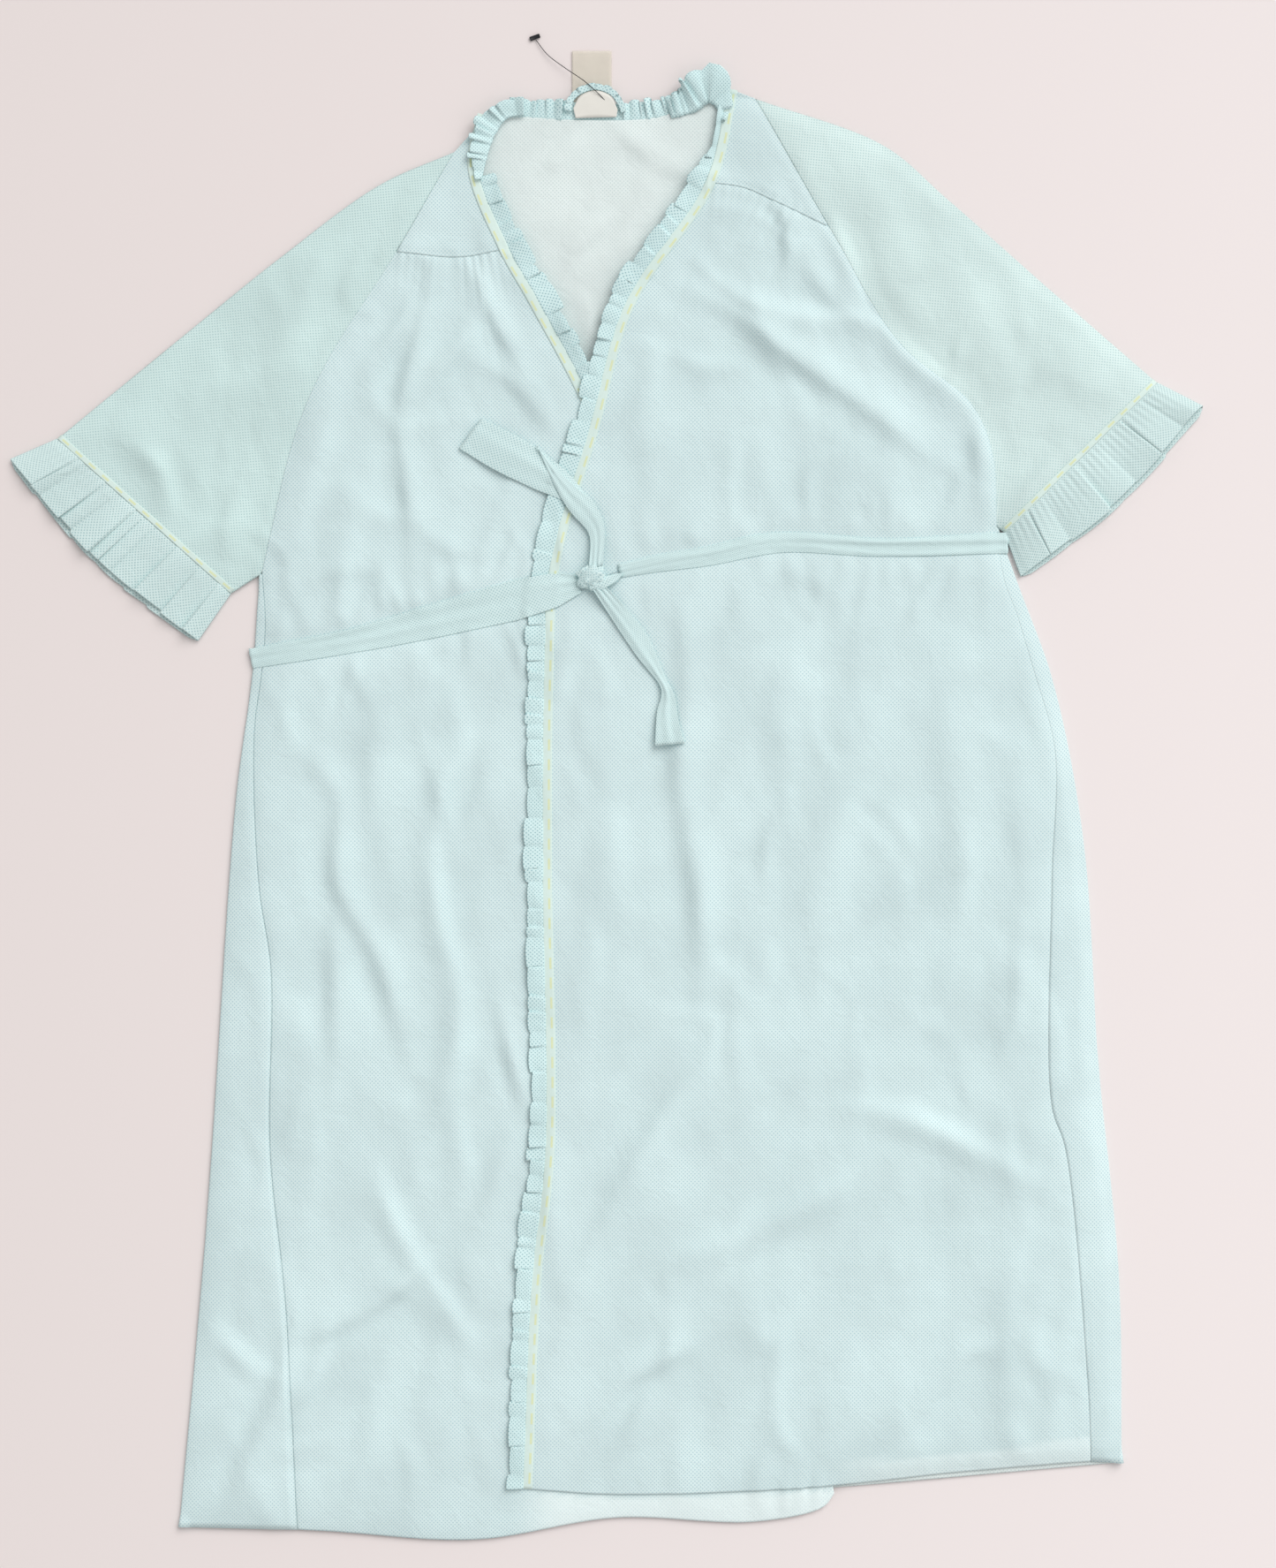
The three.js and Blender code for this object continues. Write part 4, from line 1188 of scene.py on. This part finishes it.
right_trim = tape("right_front_trim", part_of(RIGHT_EDGE, (-96, 550), (178, -546)), -5.6,
                  lambda p: right_height(p) + 0.55 * (p[:, 1] > 436), "torso", ["right_front_tape"], outer=5.4,
                  inner=2.6)
chest_trim = tape("left_chest_trim", left_edge_top, 5.6, lambda p: left_height(p) + 0.55 * (p[:, 1] > 490), "torso",
                  ["left_front_tape"], outer=5.4, inner=2.6)
skirt_trim = tape("left_skirt_trim", left_edge_low, 5.6, left_height, CORNER_TURN,
                  ["left_front_tape", "left_corner_tape"], outer=5.4, inner=2.6)
right_cuff_trim = tape("right_cuff_trim", np.array([RIGHT_SHOULDER[-1], RIGHT_UNDERARM[-1]]), 2.7, right_height,
                       "right_sleeve", ["right_cuff_tape"], CUFF_TAPE)
left_cuff_trim = tape("left_cuff_trim", np.array([LEFT_SHOULDER[-1], LEFT_UNDERARM[-1]]), -2.7, left_height,
                      "left_sleeve", ["left_cuff_tape"], CUFF_TAPE)
edge_ruffle("right_front_frill", part_of(RIGHT_EDGE, (-103, 500), (178, -535)), 1,
            lambda p: np.maximum(right_height(p), back_height(p) + 1.0), "torso",
            ["right_front_ruffle"], 11,
            covered=lambda p: smooth_step((in_left_front(p) + 16) / 14))
edge_ruffle("left_chest_frill", part_of(LEFT_EDGE, (95, 562), (-49, 165)), -1, neck_lap, "torso",
            ["left_front_ruffle"], 23,
            widths=((0, 0.3), (0.09, 0.3), (0.16, 1), (1, 1)))
edge_ruffle("left_skirt_frill", left_edge_low, -1, lap, CORNER_TURN, ["left_front_ruffle", "left_corner_ruffle"], 29)


def under_label(p):
    """1 where the neck label covers the frill, 0 away from it."""
    return smooth_step((24 - np.abs(p[:, 0] + 9)) / 6)


def neck_rise(p):
    """Height at which the frill turns up beside the left shoulder."""
    return 4.0 + 4.5 * smooth_step((p[:, 1] - 552) / 30)


def shoulder_roll(p):
    """Height at which the frill turns up beside the right shoulder."""
    return 3.5 + right_height(np.clip(p, [-110, 480], [500, 560])) * 0.8


label_rim = edge_ruffle("label_rim", curve_through([(-29, 553), (-27, 562), (-20, 568), (-9, 571), (3, 567), (10, 558),
                                                    (12, 552)]), 1, lambda p: np.full(len(p), 5.4), "torso",
                        ["back_neck_ruffle"], 67, narrow=4, wide=9, width=5, tall=0.5, own_cut=False)
edge_ruffle("back_neck_frill", BACK_NECK, 1, lambda p: 1.6 + 0.02 * (p[:, 1] - 549), "torso", ["back_neck_ruffle"], 37,
            narrow=4, wide=11, width=14, tall=1.7, covered=under_label)
edge_ruffle("left_neck_curl", curve_through([(52, 549), (70, 555), (83, 563), (90, 557), (92, 543)]), 1, neck_rise,
            "torso", ["back_neck_ruffle"], 53, narrow=3.5, wide=8, width=15, tall=2.4,
            widths=((0, 0.75), (0.25, 1.15), (0.5, 1.6), (0.6, 1.7), (0.7, 0.95), (0.85, 0.55), (1, 0.15)),
            flat_print=True)
edge_ruffle("right_neck_curl", curve_through([(-66, 551), (-80, 549), (-90, 538), (-97, 519), (-101, 498)]), -1,
            shoulder_roll, "torso", ["right_front_ruffle"], 59, narrow=4, wide=10, width=14, tall=1.5,
            widths=((0, 0.9), (0.4, 1.15), (0.75, 1.0), (1, 0.35)), flat_print=True)

cuff_ruffle("right", RIGHT_SHOULDER, RIGHT_UNDERARM, RIGHT_CUFF_FREE, right_height, 71, 8, 30)
cuff_ruffle("left", LEFT_SHOULDER, LEFT_UNDERARM, LEFT_CUFF_FREE, left_height, 83, 16, 46)


# ------------------------------------------------------------------ belt
def strip(name, left, right, height, material, body, nodes, crease=0.6, seed=1, turns=(), slot="belt_cloth",
          columns=13, gather_ends=(), flat_width=32, held="laid", base_lift=1.0, lifts=()):
    """A length of belt between two edge lines, with soft creases along it."""
    n = max(8, int(max(length_of(left), length_of(right)) / 3))
    shares = np.linspace(0, 1, n)
    a, b = at_shares(left, shares), at_shares(right, shares)
    across = close_at_ends(columns, (0.02,), (0.02,))
    flat = a[:, None] + (b - a)[:, None] * across[None, :, None]
    p = flat.reshape(-1, 2)
    level = height(p).reshape(flat.shape[:2])
    spine = np.maximum(level.mean(1), level.max(1) - 0.8)
    spine = np.convolve(np.pad(spine, 4, mode="edge"), np.ones(9) / 9, mode="valid")
    z = np.maximum(0.6 * spine[:, None] + 0.4 * level, level) + base_lift
    rng = np.random.default_rng(seed)
    s = shares * length_of((a + b) / 2)
    for _ in range(4):
        place = rng.uniform(0.15, 0.85) + 0.14 * np.sin(s / rng.uniform(35, 70) + rng.uniform(0, 6))
        z += crease * rng.uniform(0.5, 1) * np.exp(-((across[None] - place[:, None]) / 0.12) ** 2)
    for end in gather_ends:
        close = np.exp(-np.abs(s - end * s[-1]) / 16)
        z += close[:, None] * 1.6 * (0.5 + 0.5 * np.cos(2 * math.pi * across * 3.0))[None]
    if lifts:
        z += np.interp(shares, *zip(*lifts))[:, None]
    rim = np.minimum(across, 1 - across) / 0.06
    z -= 0.35 * np.exp(-rim ** 2)[None]
    rows = np.concatenate([flat, z[..., None]], axis=2)
    for turn in turns:
        rows = turn(rows)
    run = lengths_along(rows[:, columns // 2])
    pattern = np.stack([(across[None] - 0.5) * flat_width * np.ones((len(rows), 1)),
                        np.repeat(run[:, None], rows.shape[1], 1)], axis=2)
    piece = sheet(name, rows, pattern, material, thickness=0.7)
    declare(piece, body, nodes)
    return piece


def over_all(p):
    """Top of the gown with its frill."""
    dist, side, _ = nearest(p, LEFT_FREE)
    frill = right_height(p) + LAP_LIFT + 1.0
    return np.where((side < 0) & (dist < 17), np.maximum(frill, top_height(p)), top_height(p) + 0.9 * (dist < 11))


def widths_beside(line, widths):
    middle = evenly(line, 5)
    s = np.linspace(0, 1, len(middle))
    w = np.interp(s, *zip(*widths)) / 2
    return beside(middle, w), beside(middle, -w)


def round_side(outward, first):
    """Carries a belt run's end round the side of the gown and down to the floor."""
    def turn(rows):
        rows = rows if first else rows[::-1]
        end = rows[0]
        out = np.array([outward, 0.0])
        top = end[:, 2]
        extra = []
        radius = (top - 0.9) / 2
        for angle in np.linspace(1, 0.15, 7) * math.pi:
            place = end[:, :2] + out * (0.8 + 1.3 * radius * math.sin(angle))[:, None]
            extra.append(np.concatenate([place, (0.9 + radius + radius * -math.cos(angle))[:, None]], axis=1))
        under = np.concatenate([end[:, :2] - out * 4.0, np.full((len(end), 1), 0.75)], axis=1)
        by_height = sorted([under] + extra, key=lambda e: e[:, 2].mean())
        made = np.concatenate([np.stack(by_height), rows])
        return made if first else made[::-1]
    return turn


right_run = widths_beside(RIGHT_BELT, [(0, 16), (0.3, 19), (0.55, 27), (0.8, 32), (0.92, 28), (1, 15)])
strip("belt_right_band", *right_run, over_all, BELT_CLOTH, "torso", ["belt_right_run"], seed=5, gather_ends=(1,),
      turns=(round_side(-1, True),))
left_run = widths_beside(LEFT_BELT, [(0, 11), (0.12, 14), (0.35, 17), (0.7, 14), (1, 17)])
strip("belt_left_band", *left_run, over_all, BELT_CLOTH, "torso", ["belt_left_run"], seed=8, crease=0.9,
      turns=(round_side(1, False),))
back_run = np.array([(-283, 112), (319, 205)], float)
strip("belt_back_band", beside(back_run, 7.5), beside(back_run, -7.5), lambda p: np.full(len(p), 0.2), BELT_CLOTH,
      "torso", ["belt_back_run"], crease=0.0, base_lift=0.4)


def tail_ground(p):
    """The gown under the tails, and never lower than the knot holds them."""
    return np.maximum(over_all(p), 8.5) + 0.2


# the upper tail: its wide end lies under the ribbon that runs back to the knot
strip("upper_tail_end", curve_through([(-119, 281), (-91, 264), (-60, 249), (-31, 236), (-22, 224)]),
      curve_through([(-101, 305), (-79, 294), (-56, 281), (-30, 260), (-14, 240)]), tail_ground, BELT_CLOTH,
      UPPER_TAIL_TURN, ["belt_upper_tail"], seed=14, crease=0.5, columns=17)
strip("upper_tail_ribbon", curve_through([(-14, 184), (-14, 211), (-23, 223), (-31, 232), (-46, 259), (-55, 281)]),
      curve_through([(-3, 186), (-2, 219), (-10, 237), (-24, 249), (-41, 266), (-57, 283)]), tail_ground, BELT_CLOTH,
      UPPER_TAIL_TURN, ["belt_upper_tail"], seed=17, crease=0.5, base_lift=3.0, gather_ends=(0,),
      lifts=((0, 3.2), (0.25, 0)))
strip("lower_tail_ribbon", curve_through([(-11, 167), (4, 144), (24, 114), (44, 88), (44, 80), (41, 70), (39, 41)]),
      curve_through([(-1, 170), (14, 154), (33, 130), (49, 93), (55, 82), (58, 62), (63, 43)]), tail_ground, BELT_CLOTH,
      LOWER_TAIL_TURN, ["belt_lower_tail"], seed=19, crease=0.5, base_lift=1.6, gather_ends=(0,),
      lifts=((0, 3.0), (0.18, 0), (0.6, 0), (0.68, 1.8), (0.76, 0)))


# ------------------------------------------------------------------ knot
KNOT_CENTRE = (-11.5, 177.5, 13.2)


def knot_core():
    """The lump of gathered cloth under the wrapped turn."""
    bm = bmesh.new()
    layer = bm.loops.layers.uv.new("pattern")
    bmesh.ops.create_icosphere(bm, subdivisions=5, radius=1.0)
    rng = np.random.default_rng(61)
    waves = [(rng.normal(0, 1, 3) * 2.2, rng.uniform(0, 6)) for _ in range(7)]
    for v in bm.verts:
        n = np.array(v.co)
        bump = sum(0.05 * math.sin(float(k @ n) * 2 + c) for k, c in waves)
        groove_along = 0.11 * math.cos(9 * (0.6 * n[0] - 0.8 * n[1])) * max(0.0, n[2])
        size = 1 + bump + groove_along
        v.co = [(KNOT_CENTRE[k] + n[k] * size * (11.0, 10.0, 4.3)[k]) * MM for k in range(3)]
    for face in bm.faces:
        face.smooth = True
        for loop in face.loops:
            loop[layer].uv = (loop.vert.co.x * 0.8 + loop.vert.co.z, loop.vert.co.y * 0.9)
    mesh = bpy.data.meshes.new("belt_knot_core")
    bm.to_mesh(mesh)
    bm.free()
    core = bpy.data.objects.new("belt_knot_core", mesh)
    bpy.context.scene.collection.objects.link(core)
    mesh.materials.append(BELT_CLOTH)
    settle(core, "torso", ["belt_knot"])


def band_over(name, path, widths, seed, ripple=0.5, node="belt_knot"):
    """A turn of the belt along points in space, flat side up, with creases along it."""
    line = curve_through(path, 10)
    n = len(line)
    along = np.gradient(line, axis=0)
    along /= np.linalg.norm(along, axis=1)[:, None]
    across_dir = np.cross(along, [0, 0, 1.0])
    across_dir /= np.linalg.norm(across_dir, axis=1)[:, None]
    up_dir = np.cross(across_dir, along)
    shares = np.linspace(-1, 1, 19)
    half = np.interp(np.linspace(0, 1, n), *zip(*widths)) / 2
    rows = []
    for k in range(n):
        wave = ripple * np.cos(shares * 7 + 3 * math.sin(k / n * 3 + seed)) * (1 - shares ** 4)
        curl = -1.9 * np.abs(shares) ** 3
        rows.append(line[k] + across_dir[k] * (half[k] * np.sin(shares * 1.35) / math.sin(1.35))[:, None]
                    + up_dir[k] * (wave + curl)[:, None])
    rows = np.array(rows)
    run = lengths_along(line)
    pattern = np.stack([np.repeat((shares * half.max())[None], n, 0) * 1.3,
                        np.repeat(run[:, None], len(shares), 1)], axis=2)
    piece = sheet(name, rows, pattern, BELT_CLOTH, thickness=0.6)
    declare(piece, "torso", [node])


knot_core()
band_over("belt_knot_turn",
          [(-19.5, 168, 12.0), (-18.5, 172, 15.5), (-13, 178, 18.0), (-8, 183.5, 17.3), (-5, 188, 13.5)],
          [(0, 9), (0.5, 12.5), (1, 9)], 3)
band_over("belt_knot_leaf",
          [(-14, 169.5, 14.5), (-7, 171, 16.3), (0, 173.5, 15.6), (7, 176.5, 13.8), (13, 180, 12.6)],
          [(0, 8), (0.35, 10.5), (0.75, 7), (1, 1.5)], 5, ripple=0.35)


# ------------------------------------------------------------------ labels and tag pin
def label(name, x, y, height, material, node, slot, spacing=1.5):
    bottom, top = np.array([(x[0], y[0]), (x[1], y[0])], float), np.array([(x[0], y[1]), (x[1], y[1])], float)
    left, right = np.array([bottom[0], top[0]]), np.array([bottom[1], top[1]])
    flat = rows_for(bottom, top, left, right, spacing)
    piece = sheet(name, lay(flat, height), flat, material, thickness=0.18)
    declare(piece, "torso", [node])


label("care_label_blank", (-28, 4), (549, 603),
      lambda p: 0.35 + 0.5 * soft_noise(41, 17)(p) ** 2 + 0.01 * (p[:, 1] - 549),
      CARE_NYLON, "care_label", "care_label")
arch = curve_through([(-27, 556), (-21, 566), (-9, 570), (3, 566), (9, 555)])
arched = rows_for(np.array([(-25, 548), (8, 549)], float), arch, np.array([(-25, 548), (-27, 556)], float),
                  np.array([(8, 549), (9, 555)], float), 1.2)
neck_label = sheet("neck_label_blank",
                   lay(arched, lambda p: 5.0 + 0.35 * soft_noise(43, 14)(p) + 0.06 * (p[:, 1] - 560)),
                   arched, LABEL_SATIN, thickness=0.18)
declare(neck_label, "torso", ["neck_label"])


def tag_pin():
    """A bent nylon filament with a short bar at each end."""
    route = [(-57.2, 612, 1.0), (-48, 600, 2.2), (-34, 589, 4.0), (-19, 578.5, 6.0), (-11, 571.5, 7.3),
             (-6, 567, 6.2), (1, 560, 4.1)]
    line = curve_through(route, 8)
    curve = bpy.data.curves.new("pin_filament", "CURVE")
    curve.dimensions = "3D"
    curve.bevel_depth = 0.32 * MM
    curve.bevel_resolution = 3
    curve.use_fill_caps = True
    spline = curve.splines.new("POLY")
    spline.points.add(len(line) - 1)
    for point, place in zip(spline.points, line[::-1]):
        point.co = (*(place * MM), 1)
    filament = bpy.data.objects.new("pin_filament", curve)
    bpy.context.scene.collection.objects.link(filament)
    curve.materials.append(NYLON)
    for name, centre, size, turn, node in (
            ("pin_paddle", (-58, 614, 0.95), (8.6, 3.4, 1.5), 0.35, "tag_pin_bar"),
            ("pin_stub", (1.6, 559.4, 4.0), (4.5, 0.8, 0.8), 1.2, "tag_pin_crossbar")):
        bm = bmesh.new()
        bmesh.ops.create_cube(bm, size=1.0)
        bmesh.ops.scale(bm, verts=bm.verts, vec=[v * MM for v in size])
        bmesh.ops.bevel(bm, geom=bm.edges[:], offset=0.28 * min(size) * MM, offset_type="OFFSET", segments=3,
                        profile=0.5, affect="EDGES", clamp_overlap=True, material=-1)
        if name == "pin_paddle":
            grip = [f for f in bm.faces if f.normal.z > 0.99]
            bmesh.ops.inset_region(bm, faces=grip, thickness=0.5 * MM)
            bmesh.ops.translate(bm, verts=list({v for f in grip for v in f.verts}), vec=(0, 0, -0.3 * MM))
        bmesh.ops.rotate(bm, verts=bm.verts, cent=(0, 0, 0), matrix=Matrix.Rotation(turn, 3, "Z"))
        bmesh.ops.translate(bm, verts=bm.verts, vec=[v * MM for v in centre])
        for face in bm.faces:
            face.smooth = True
        mesh = bpy.data.meshes.new(name)
        bm.to_mesh(mesh)
        bm.free()
        bar = bpy.data.objects.new(name, mesh)
        bpy.context.scene.collection.objects.link(bar)
        mesh.materials.append(NYLON)
        settle(bar, "torso", [node])
    settle(filament, "torso", ["tag_pin_filament"])


tag_pin()
